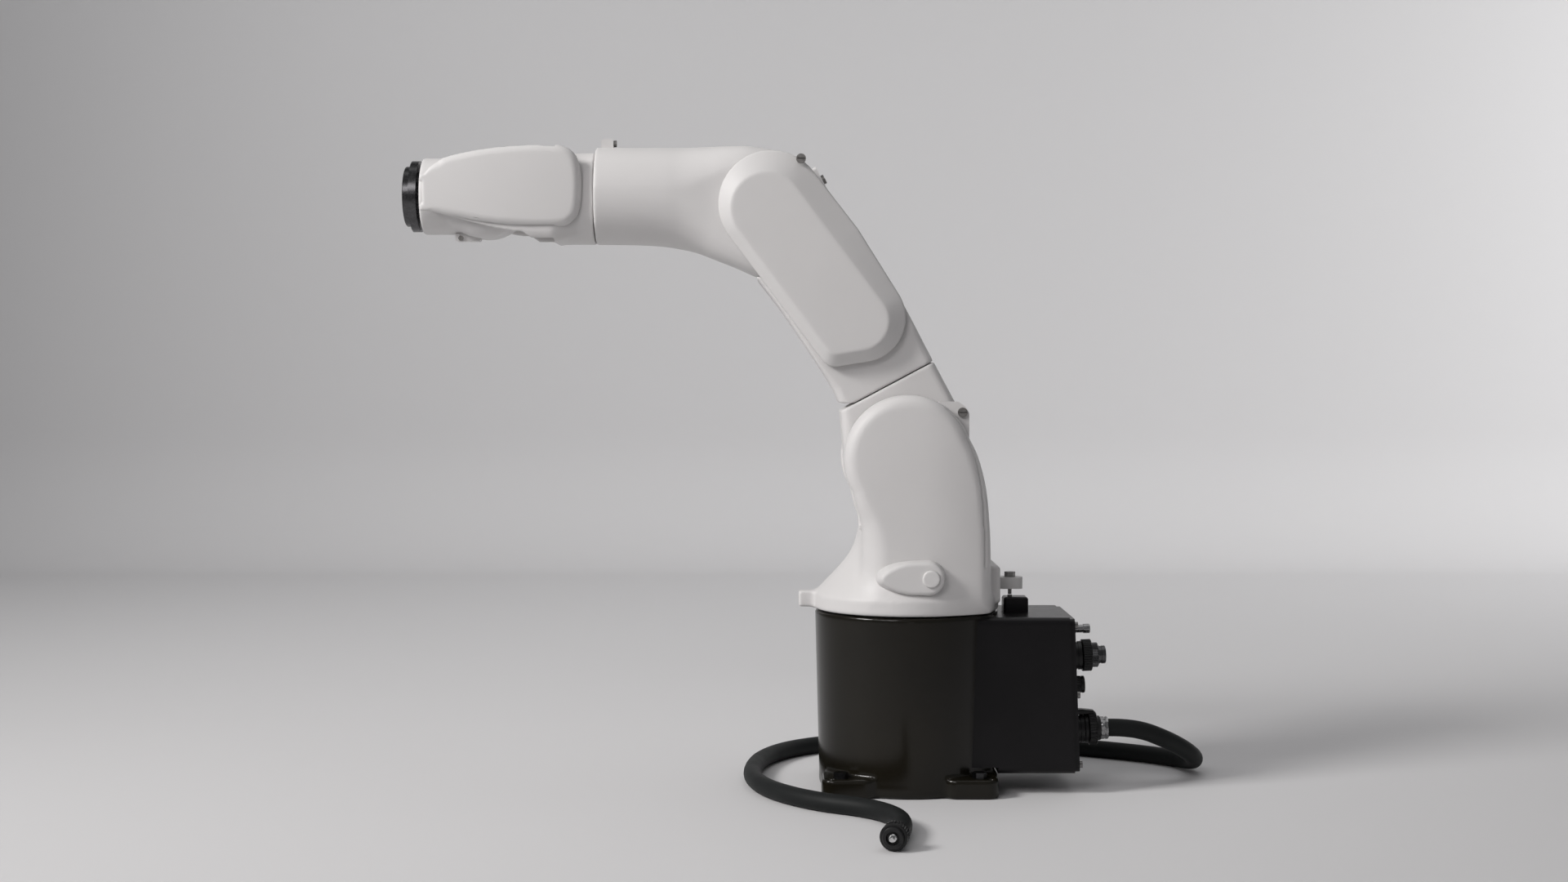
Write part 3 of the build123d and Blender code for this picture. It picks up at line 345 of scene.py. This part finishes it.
DRUM_R, DRUM_TAPER, DRUM_LOW, DRUM_TOP = 92.0, 4.5, 4.0, 186.0
FOOT_AT, FOOT_H, BOLT_AT, BOLT_R = 63.0, 20.0, 82.5, 3.3
WELL_LOW, WELL_R = 140.0, 44.99
HEAD_TOP_X, HEAD_TOP_Z, HEAD_TOP_R = 2.0, 347.0, 66.0
CHEEK_OUT, CHEEK_SEAM, SLOT_HALF, SLOT_R = 84.0, 73.2, 48.5, 78.5
COLLAR_LOW, OVAL_Z, OVAL_OUT = 187.5, 226.5, 98.0
ARM_HALF, ARM_SEAM, COVER_FACE, COVER_BEVEL = 47.0, 78.0, 66.0, 10.5
ELBOW_R, ELBOW_GAP_R, KNEE_R, WEB_END = 49.5, 77.0, 75.5, 262.0
TUBE_LOW, TUBE_TOP, TUBE_END = 570.2, 672.0, 326.5
NECK_START, NECK_R, NECK_HALF = 327.1, 50.4, 40.6
PRONG_IN, PRONG_OUT, WRIST_FACE = 40.2, 46.0, 53.0
HEAD_HALF, HEAD_R, NOSE_R, NOSE_END = 39.4, 44.5, 40.0, 508.3

# ---------------------------------------------------------------- base
f = Field((-98, -98, 0), (98, 98, 188), 1.8)
R = np.hypot(f.X, f.Y)
drum_r = DRUM_R + DRUM_TAPER * (f.Z - DRUM_LOW) / (DRUM_TOP - DRUM_LOW)
barrel = slab(R - drum_r, between(f.Z, DRUM_LOW, DRUM_TOP), 2.0)
pad = slab(
    np.hypot(*(np.maximum(np.abs(np.abs(v) - FOOT_AT) - 15, 0) for v in (f.X, f.Y))) - 13,
    between(f.Z, 0, FOOT_H),
    1.5,
)
d = blend(barrel, pad, 5.0)
d = blend(d, slab(R - 91, between(f.Z, 0.4, 12), 1.5), 3.0)
box_root = slab(np.abs(f.Y) - 58, between(f.Z, 24, 182), 4.0)
box_root = np.maximum(box_root, np.maximum(f.X + 62, -88 - f.X))
d = blend(d, box_root, 10.0)
d = np.maximum(d, -f.Z)
hole = np.hypot(np.abs(f.X) - BOLT_AT, np.abs(f.Y) - BOLT_AT)
d = cut(d, hole - BOLT_R, 0.8)
d = cut(d, np.maximum(R - 78, f.Z - 60), 1.0)
d = np.maximum(d, -np.where(f.Z > WELL_LOW, R - WELL_R, 1e3))
skin("base_shell", f, d, BLACK, "base", ("base_casting",))

# ---------------------------------------------------------------- turret
REAR = [(-60, 369.6), (-70, 349), (-78.5, 316), (-82.5, 274), (-83.5, 240)]
WAIST = [(49, 262), (49.5, 280), (54.5, 297), (58, 312)]


def shoulder_line():
    """Side outline of the column and its round head."""
    head = [on_circle(HEAD_TOP_X, HEAD_TOP_Z, HEAD_TOP_R, a) for a in range(-32, 161, 6)]
    return head + smooth_line(REAR)[1:] + [(-83.5, 190), (49, 190)] + smooth_line(WAIST)[:-1]


def turret_column(f, half):
    """The column and head, to a half width, their faces crowned and softer at the front foot."""
    crown = np.where(f.X < -14, 9.0 * ((f.X + 14) / 69) ** 2, 2.0 * ((f.X + 14) / 72) ** 2)
    flat = outline(f.X, f.Z, shoulder_line())
    edge = 13.0 + 13.0 * rise(f.Z, 310, 260) * rise(f.X, -5, 25)
    return slab(flat, np.abs(f.Y) - half + crown, edge)


f = Field((-100, -98, 186), (116, 98, 416), 1.75)
R = np.hypot(f.X, f.Y)
flare = [(0, COLLAR_LOW), (95.5, COLLAR_LOW), (97, COLLAR_LOW + 2)] + smooth_line(
    [(97, 203), (89, 213), (71, 232), (56, 252), (47.5, 269), (45.5, 277)]
) + [(0, 277)]
d = blend(turret_column(f, CHEEK_OUT), outline(R, f.Z, flare), 14.0)
d = blend(d, box(f, (-95.5, -44, 196), (-60, 44, 235), 3), 3.0)
d = blend(d, box(f, (80, -9, 189), (114, 9, 206), 2.0), 6.0)
hub = np.hypot(f.X, f.Z - J2_Z) - SLOT_R
front = np.maximum(-f.X, 271 - f.Z)
rear = np.maximum(f.X + 10, 306 - f.Z)
d = cut(d, np.maximum(np.minimum(hub, np.minimum(front, rear)), np.abs(f.Y) - SLOT_HALF), 2.0)
seam = np.maximum(np.abs(np.abs(f.Y) - CHEEK_SEAM) - 0.7, 236 - f.Z)
d = cut(d, np.maximum(seam, f.X + 36), 0.8)
d = np.maximum(d, COLLAR_LOW + 0.1 - f.Z)
skin(
    "turret_shell", f, d, WHITE, "turret",
    ("turret_casting", "turret_cover_left", "turret_cover_right"),
)

# oval cover with its round plug
f = Field((-38, 72, 204), (40, 101, 250), 1.0)
egg = outline(
    f.X, f.Z,
    hull([(x, OVAL_Z, r) for x, r in ((-17, 18.2), (0, 17.8), (11, 16.2), (19, 13.6), (25.6, 10))]),
)
draft = 0.16 + 0.3 * rise(f.X, 6, 32)
d = slab(egg + draft * np.maximum(f.Y - 86, 0), between(f.Y, 70, OVAL_OUT), 3.0)
skin("oval_cover", f, d, WHITE_COVER, "turret", ("side_boss_cover",))
f = Field((-30, 96, 216), (-10, 101, 237), 0.8)
d = slab(np.hypot(f.X + 20, f.Z - OVAL_Z) - 9, between(f.Y, OVAL_OUT - 3, OVAL_OUT + 3), 1.6)
skin("oval_cover_plug", f, d, WHITE_COVER, "turret", ("boss_plug",))


# ---------------------------------------------------------------- upper arm
def arm_axes(f):
    """Distance up the arm and forward of its line."""
    x, z = f.X, f.Z - J2_Z
    return x * math.sin(LEAN) + z * math.cos(LEAN), x * math.cos(LEAN) - z * math.sin(LEAN)


f = Field((-70, -48, 278), (72, 48, 452), 1.8)
U, W = arm_axes(f)
flat = outline(
    U, W,
    hull([(0, 0, 66), (56, 41.4, 1), (78, 35.8, 1), (92, 31.5, 1), (92, -69.3, 1), (30, -69.3, 1)]),
)
d = slab(flat, np.abs(f.Y) - ARM_HALF, 9.0)
d = meet(d, U - ARM_SEAM + 0.4, 0.8)
skin("lower_arm", f, d, WHITE, "upper_arm", ("lower_arm_casting",), relax=1)

COVER = [(300, 2, 54.5), (228, -12.5, 52.5), (152.5, -25, 45.5), (136, 14, 17.5)]
f = Field((-35, -54, 410), (205, 54, 672), 1.8)
U, W = arm_axes(f)
front = smooth_line([(60, 38.2), (78, 37), (108, 35.4), (160, 40), (200, 44.5), (242, 51.4), (WEB_END, 54.5)])
rear = smooth_line(
    [(WEB_END, -57), (247, -60), (204, -66), (170, -69.5), (137, -70.3), (78, -70.3), (60, -70.3)]
)
web_edge = 9.0 - 7.0 * rise(U, 100, 130)
web = slab(outline(U, W, front + rear), np.abs(f.Y) - ARM_HALF, web_edge)
web = meet(web, ARM_SEAM + 0.4 - U, 0.8)
elbow = np.hypot(U - ARM_LEN, W)
web = np.maximum(web, U - WEB_END)
plates = slab(
    outline(U, W, hull([(a, b, r - 4.4) for a, b, r in COVER])), np.abs(f.Y) - 52.6, 1.0
)
d = blend(web, plates, 2.0)
room = np.minimum(elbow - ELBOW_GAP_R, np.maximum(WEB_END - U, np.abs(f.Y) - 50))
d = cut(d, np.maximum(room, np.abs(f.Y) - 50), 2.0)
skin("upper_arm_shell", f, d, WHITE, "upper_arm", ("upper_arm_casting",))

for side_name, sign in (("left", 1), ("right", -1)):
    lo, hi = sorted((sign * 47, sign * 67))
    f = Field((-10, lo, 425), (205, hi, 672), 1.4)
    U, W = arm_axes(f)
    y = sign * f.Y
    outer = outline(U, W, hull(COVER))
    face = outline(U, W, hull([(297, 9, 37), (150.5, -21, 30), (142, 10, 12)]))
    t = rise(y, COVER_FACE - COVER_BEVEL, COVER_FACE)
    d = outer * (1 - t) + face * t
    d = meet(d, y - COVER_FACE, 1.5)
    d = np.maximum(d, np.where(np.hypot(U - ARM_LEN, W) > ELBOW_GAP_R + 1, ARM_HALF, 50.2) - y)
    inner = outline(U, W, hull([(a, b, r - 4.6) for a, b, r in COVER]))
    d = np.maximum(d, -np.maximum(inner, y - 53))
    skin(
        f"arm_cover_{side_name}_shell", f, d, WHITE_COVER, "upper_arm",
        (f"arm_cover_{side_name}",),
    )

# ---------------------------------------------------------------- forearm
f = Field((88, -52, 532), (327, 52, 673), 1.8)
knee = [on_circle(J3_X, J3_Z, KNEE_R, a) for a in range(-75, -124, -6)]
hub = [on_circle(J3_X, J3_Z, ELBOW_R, a) for a in range(-140, -236, -8)]
under = smooth_line(
    [
        (420, TUBE_LOW), (330, TUBE_LOW), (302, 570.3), (270, 569.4), (250, 567.6), (224, 562.6),
        (207, 556.8), (181, 547), knee[0],
    ]
)
top = smooth_line(
    [
        hub[-1], (134, 665), (160, 670.6), (181, TUBE_TOP), (240, TUBE_TOP), (330, TUBE_TOP), (420, TUBE_TOP),
    ]
)
flat = outline(f.X, f.Z, under[:-1] + knee + hub[:-1] + top)
flat = np.minimum(flat, np.hypot(f.X - J3_X, f.Z - J3_Z) - ELBOW_R)
half = 49.4 + 1.6 * rise(f.X, 208, 248)
d = slab(flat, np.abs(f.Y) - half, 24 + 26.4 * ease(f.X, 162, 246))
d = meet(d, f.X - TUBE_END, 0.8)
skin("forearm_shell", f, d, WHITE, "forearm", ("forearm_casting",))

# ---------------------------------------------------------------- wrist
f = Field((326, -54, 568), (508, 54, 673), 1.6)
dip = 5.0 * rise(f.Z, 590, 640)
ring = slab(np.hypot(f.Y, f.Z - J5_Z) - NECK_R + dip, np.abs(f.Y) - NECK_HALF, 8.0)
top_z = np.interp(f.X.ravel(), [327, 345, 372, 400], [667, 665, 668, 669])[:, None, None]
square = slab(between(f.Z, 570.6, top_z), np.abs(f.Y) - PRONG_OUT, 16.0)
t = ease(f.X, 338, 372)
neck = ring * (1 - t) + square * t
neck = np.maximum(neck, between(f.X, NECK_START, 392))
prong_line = [
    (370, 570.8), (386, 570.8), (400, 582), (413, 582.5), (430, 586), (455, 592), (479, 599),
    (494, 603.5), (502.5, 604), (502.5, 640), (490, 650), (478, 657), (449, 663.5), (398, 668), (370, 667),
]
side_line = outline(f.X, f.Z, prong_line)
prongs = np.maximum(slab(side_line, between(np.abs(f.Y), PRONG_IN, PRONG_OUT + 0.5), 1.2), square)
neck = np.maximum(neck, np.where(f.X > 378, side_line, -1e3))
d = np.minimum(neck, prongs)
d = np.maximum(d, -np.maximum(np.abs(f.Y) - PRONG_IN, 368 - f.X))
d = meet(d, NECK_START - f.X, 0.6)
skin("wrist_fork", f, d, WHITE, "wrist", ("wrist_fork_casting",))

cover_line = smooth_line(
    [
        (494, 602), (482, 597.6), (464, 594.6), (442, 590.4), (406, 586.6), (362, 586.4), (347, 593),
        (340, 607), (339, 640), (344, 660), (356, 669.5), (375, 672), (398, 671.8), (440, 667.8),
        (478, 660), (488, 654), (495, 648),
    ]
)
cover_line += [
    (499.5, 642.5), (500.5, 641), (505.8, 641), (505.8, 633), (503, 633), (503, 610.5), (505.8, 610.5),
    (505.8, 603), (502.5, 602.4),
]
for side_name, sign in (("left", 1), ("right", -1)):
    lo, hi = sorted((sign * 40, sign * 54))
    f = Field((338, lo, 584), (508, hi, 673), 1.2)
    y = sign * f.Y
    flat = outline(f.X, f.Z, cover_line)
    crown = 2.4 * ((f.X - 425) / 85) ** 2 + 1.6 * ((f.Z - 629) / 42) ** 2
    d = slab(flat, between(y, 24, WRIST_FACE - crown), 9.0 - 6.0 * rise(f.X, 484, 498))
    d = np.maximum(d, np.where(f.X < 366, 42.0, PRONG_OUT) - y)
    skin(
        f"wrist_cover_{side_name}_shell", f, d, WHITE_COVER, "wrist",
        (f"wrist_cover_{side_name}",),
    )

# ---------------------------------------------------------------- head
f = Field((396, -40, 575), (510, 40, 667), 1.5)
pivot = np.hypot(f.X - J5_X, f.Z - J5_Z) - HEAD_R
ball = slab(pivot, np.abs(f.Y) - HEAD_HALF, 20.0)
nose = np.maximum(np.hypot(f.Y, f.Z - J5_Z) - NOSE_R, J5_X - f.X)
d = blend(ball, nose, 5.0)
d = meet(d, f.X - NOSE_END, 2.0)
d = np.maximum(d, np.abs(f.Y) - HEAD_HALF)
skin("head_shell", f, d, WHITE, "head", ("head_casting",))

# ---------------------------------------------------------------- connectors on the rear panel
PANEL_X, PANEL_Z, PANEL_T = -168.0, 102.75, 5.0
MOTOR_Z, SIGNAL_Z, POWER_Z, AIR_Z = 136.0, 106.0, 58.0, 162.0
LEAN_BACK = math.atan2(6.0, 161.5)
OUT = Vector((-math.cos(LEAN_BACK), 0, math.sin(LEAN_BACK)))
UP = Vector((math.sin(LEAN_BACK), 0, math.cos(LEAN_BACK)))


def socket(y, z):
    """The point on the outer face of the panel at this Y and height."""
    return Vector((PANEL_X, y, PANEL_Z)) + OUT * PANEL_T + UP * (z - PANEL_Z)


SOCKET = [
    (0, 16, 0), (4.2, 16, 0), (5, 15.2, 0), (5, 13.4, 0), (6.6, 13.4, 0), (6.6, 15, 0), (8.2, 15, 0),
    (8.2, 14.1, 0), (9.8, 14.1, 0), (9.8, 15, 0), (13.3, 15, 0), (14, 14.4, 0), (14, 8, 0), (0, 8, 0),
]
for label, height in (("motor", MOTOR_Z), ("power", POWER_Z)):
    lathe(
        f"{label}_socket", f"{label}_connector", socket(0, height), OUT, SOCKET, DARK, "base",
        ring=True,
    )
lathe(
    "motor_coupling_ring", "motor_connector_ring", socket(0, MOTOR_Z), OUT,
    [
        (14, 15.6, 0), (14, 16.4, 0), (14.8, 17, 0), (15, 17, 1), (23, 17, 1), (23.2, 17, 0),
        (24, 16.2, 0), (24, 15.6, 0),
    ],
    DARK, "base", flutes=40, depth=0.9, ring=True,
)
lathe(
    "motor_cap", "motor_connector_cap", socket(0, MOTOR_Z), OUT,
    [
        (14, 15.5, 0), (21.2, 15.5, 0), (22, 14.7, 0), (22, 13, 0), (23.4, 13, 0), (23.6, 13, 1),
        (30, 13, 1), (30.3, 13, 0), (31, 12.2, 0), (31, 9.5, 0), (33, 9.5, 0), (33.2, 9.0, 0),
        (34.4, 9.0, 0), (34.6, 9.5, 0), (38.3, 9.5, 0), (39, 8.8, 0), (39, 7.0, 0), (36, 6.6, 0),
    ],
    DARK_STEEL, "base", flutes=30, depth=0.8,
)
lathe(
    "signal_socket", "signal_connector", socket(6, SIGNAL_Z), OUT,
    [
        (0, 10, 0), (3.4, 10, 0), (4, 9.4, 0), (4, 8.4, 0), (5, 8.4, 0), (5, 9, 1), (11, 9, 1),
        (11, 8.3, 0), (12, 8.3, 0), (12, 9, 0), (14.4, 9, 0), (15, 8.4, 0), (15, 5, 0), (0, 5, 0),
    ],
    DARK, "base", flutes=28, depth=0.7, ring=True,
)
lathe(
    "plug_shell", "power_plug", socket(0, POWER_Z), OUT,
    [
        (14, 9.8, 0), (14, 14.4, 0), (14.6, 15, 0), (17.6, 15, 0), (18, 16.6, 0), (18.8, 17.5, 0),
        (19, 17.5, 1), (25.8, 17.5, 1), (26.2, 17.5, 0), (27, 16.6, 0), (27, 13, 0), (30.3, 13, 0),
        (31, 12.3, 0), (31, 9.8, 0),
    ],
    DARK, "base", flutes=32, depth=1.0, ring=True,
)
f = Field((-202, -7, 70), (-170, 7, 84), 0.7)
out_x = (f.X - PANEL_X) * OUT.x + (f.Z - PANEL_Z) * OUT.z - PANEL_T
up_z = (f.X - PANEL_X) * UP.x + (f.Z - PANEL_Z) * UP.z + PANEL_Z - POWER_Z
lever = slab(np.abs(f.Y) - 6.0, between(out_x, 6, 25), 1.2)
d = slab(lever, between(up_z, 15.4, 21.2 - 1.6 * rise(out_x, 12, 24)), 1.2)
skin("plug_lever", f, d, DARK, "base", ("power_plug",))
lathe(
    "gland_nut", "cable_gland", socket(0, POWER_Z), OUT,
    [
        (31, 9.8, 0), (31, 11.6, 0), (31.6, 12, 1), (35, 12, 1), (35.4, 11.2, 0), (36.2, 11.2, 0),
        (36.4, 12, 0), (38.4, 12, 0), (39, 11.2, 0), (39, 9.8, 0),
    ],
    PLATED, "base", flutes=6, depth=1.1, ring=True,
)
lathe(
    "air_port", "air_fitting", socket(-18, AIR_Z), OUT,
    [
        (0, 5.5, 1), (5.6, 5.5, 1), (6, 4.6, 0), (6, 4.2, 0), (8, 4.2, 0), (8, 4.6, 0), (10, 4.0, 0),
        (10, 4.6, 0), (12, 4.0, 0), (12, 4.2, 0), (19, 4.2, 0), (19, 5, 0), (25.4, 5, 0), (26, 4.4, 0),
        (26, 1.6, 0), (0, 1.6, 0),
    ],
    PLATED, "base", flutes=6, depth=0.7, ring=True,
)

# ---------------------------------------------------------------- cable
CORD_R, END_Z = 9.5, 13.2  # the free end's connector lies on its own, wider shell
CORD = [
    (-210.65, 0.0, 59.56), (-241.0, 0.0, 60.6), (-281.0, -4.0, 45.0), (-310.0, -26.0, 26.0),
    (-319.0, -68.0, 11.0), (-298.0, -108.0, 9.5), (-245.0, -149.0, 9.5), (-170.0, -190.0, 9.5),
    (-95.0, -212.0, 9.5), (-15.0, -216.0, 9.5), (62.0, -204.0, 9.5), (118.0, -168.0, 9.5),
    (152.0, -108.0, 9.5), (164.0, -40.0, 9.5), (162.0, 30.0, 9.5), (140.0, 92.0, 9.5),
    (98.0, 146.0, 9.5), (48.0, 176.0, 9.5), (20.0, 218.0, 9.5), (16.0, 268.0, 9.5), (26.0, 314.0, 9.5),
]
curve = bpy.data.curves.new("cable_cord", "CURVE")
curve.dimensions = "3D"
curve.bevel_depth = CORD_R * MM
curve.bevel_resolution = 8
curve.resolution_u = 12
curve.use_fill_caps = True
spline = curve.splines.new("NURBS")
spline.points.add(len(CORD) - 1)
for point, at in zip(spline.points, CORD):
    point.co = (at[0] * MM, at[1] * MM, at[2] * MM, 1)
spline.order_u = 3
spline.use_endpoint_u = True
cord = bpy.data.objects.new("cable_cord", curve)
bpy.context.scene.collection.objects.link(cord)
curve.materials.append(RUBBER)
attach(cord, "base")
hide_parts("cable")
TIP = Vector((CORD[-1][0], CORD[-1][1], END_Z))
HEADING = Vector((CORD[-1][0] - CORD[-2][0], CORD[-1][1] - CORD[-2][1], 0))
cable_end = lathe(
    "cable_end_shell", "cable_connector", TIP, HEADING,
    [
        (0, 10.6, 0), (0.8, 11.5, 0), (4.6, 11.5, 0), (5, 12.4, 0), (5.8, 13, 0), (6, 13, 1),
        (17.8, 13, 1), (18, 13, 0), (19, 12.1, 0), (19, 10, 0), (22.2, 10, 0), (23, 9.2, 0),
        (23, 6.4, 0), (19.5, 6.0, 0), (19.5, 4.1, 0), (4, 4.1, 0),
    ],
    DARK, "base", flutes=30, depth=0.9,
)
cable_pin = lathe(
    "cable_end_pin", "cable_connector_pin", TIP, HEADING,
    [(6, 4, 0), (23.2, 4, 0), (24, 3.4, 0), (24, 2.5, 0), (28.3, 2.5, 0), (29, 1.8, 0)],
    CHROME, "base",
)

# ---------------------------------------------------------------- finishes of the remaining CAD nodes
FINISH = {
    "black_paint": BLACK_BOX, "black_steel": BLACK_STEEL, "steel": STEEL, "plated_metal": PLATED,
    "bare_aluminium": ALUMINIUM, "motor_case": MOTOR, "dark_plastic": DARK, "cable_jacket": RUBBER,
    "chrome": CHROME, "white_paint": WHITE, "white_plastic": WHITE_COVER,
}
OWN_FINISH = {"tool_flange": DARK_STEEL}
for screw in ("j2_index_screw", "j3_index_screw", "j4_index_screw", "j5_index_screw", "j3_stop_screw"):
    OWN_FINISH[screw] = SCREW_STEEL
slots = {s["node"]: s["material_slot"] for s in frame["record"]["subparts"]}
for node, obj in frame["nodes"].items():
    material = OWN_FINISH.get(node, FINISH[slots[node]])
    if not obj.data.materials:
        obj.data.materials.append(material)
    for material_slot in obj.material_slots:
        material_slot.material = material

# ---------------------------------------------------------------- floor, backdrop and light
floor_mat, _, floor_bsdf = shader("floor", (0.65, 0.645, 0.65), 0.7)
floor_bsdf.inputs["Specular IOR Level"].default_value = 0.25
WALL_Y, SWEEP_R, FLOOR_REACH, FLOOR_HALF = -2.7, 0.3, 9.0, 14.0
quarter = [i * math.pi / 24 for i in range(13)]
sweep = [
    (WALL_Y + SWEEP_R - SWEEP_R * math.sin(t), SWEEP_R - SWEEP_R * math.cos(t)) for t in quarter
]
profile = [(FLOOR_REACH, 0.0)] + sweep + [(WALL_Y, FLOOR_REACH)]
bm = bmesh.new()
rows = [[bm.verts.new((x, y, z)) for y, z in profile] for x in (-FLOOR_HALF, FLOOR_HALF)]
for i in range(len(profile) - 1):
    bm.faces.new((rows[0][i], rows[1][i], rows[1][i + 1], rows[0][i + 1]))
mesh = bpy.data.meshes.new("floor")
bmesh.ops.recalc_face_normals(bm, faces=bm.faces)
bm.to_mesh(mesh)
bm.free()
mesh.materials.append(floor_mat)
mesh.polygons.foreach_set("use_smooth", [True] * len(mesh.polygons))
floor = bpy.data.objects.new("floor", mesh)
bpy.context.scene.collection.objects.link(floor)

world = bpy.data.worlds.new("world")
bpy.context.scene.world = world
world.use_nodes = True
world.node_tree.nodes["Background"].inputs["Color"].default_value = (0.93, 0.93, 0.95, 1)
world.node_tree.nodes["Background"].inputs["Strength"].default_value = 0.19


def lamp(name, at, aim, size, power, color=(1, 1, 1), spread=180):
    """An area light at a point, turned towards another."""
    data = bpy.data.lights.new(name, "AREA")
    data.shape = "RECTANGLE"
    data.size, data.size_y = size
    data.energy = power
    data.color = color
    data.spread = math.radians(spread)
    obj = bpy.data.objects.new(name, data)
    obj.location = at
    obj.rotation_euler = (Vector(aim) - Vector(at)).to_track_quat("-Z", "Y").to_euler()
    bpy.context.scene.collection.objects.link(obj)


# name, position, aim, size, power, colour, spread
lamp("key_left", (3.0, 1.5, 2.4), (0.0, -0.2, 0.3), (1.0, 1.0), 29.5, (1.0, 0.985, 0.97), 90)
lamp("front_soft", (1.5, 3.1, 2.3), (0.0, 0, 0.4), (1.6, 1.2), 9, (1.0, 0.97, 0.98), 100)
lamp("top_soft", (-0.6, -0.5, 3.2), (-0.5, -0.6, 0), (3.0, 2.4), 15)
lamp("wall_right", (-3.3, -0.9, 1.5), (-2.2, -2.7, 0.9), (1.2, 1.6), 25, spread=120)
lamp("wall_left", (1.5, -0.7, 2.4), (0.4, -2.7, 0.9), (1.6, 0.6), 6, spread=120)

bpy.context.scene.view_settings.view_transform = "Standard"
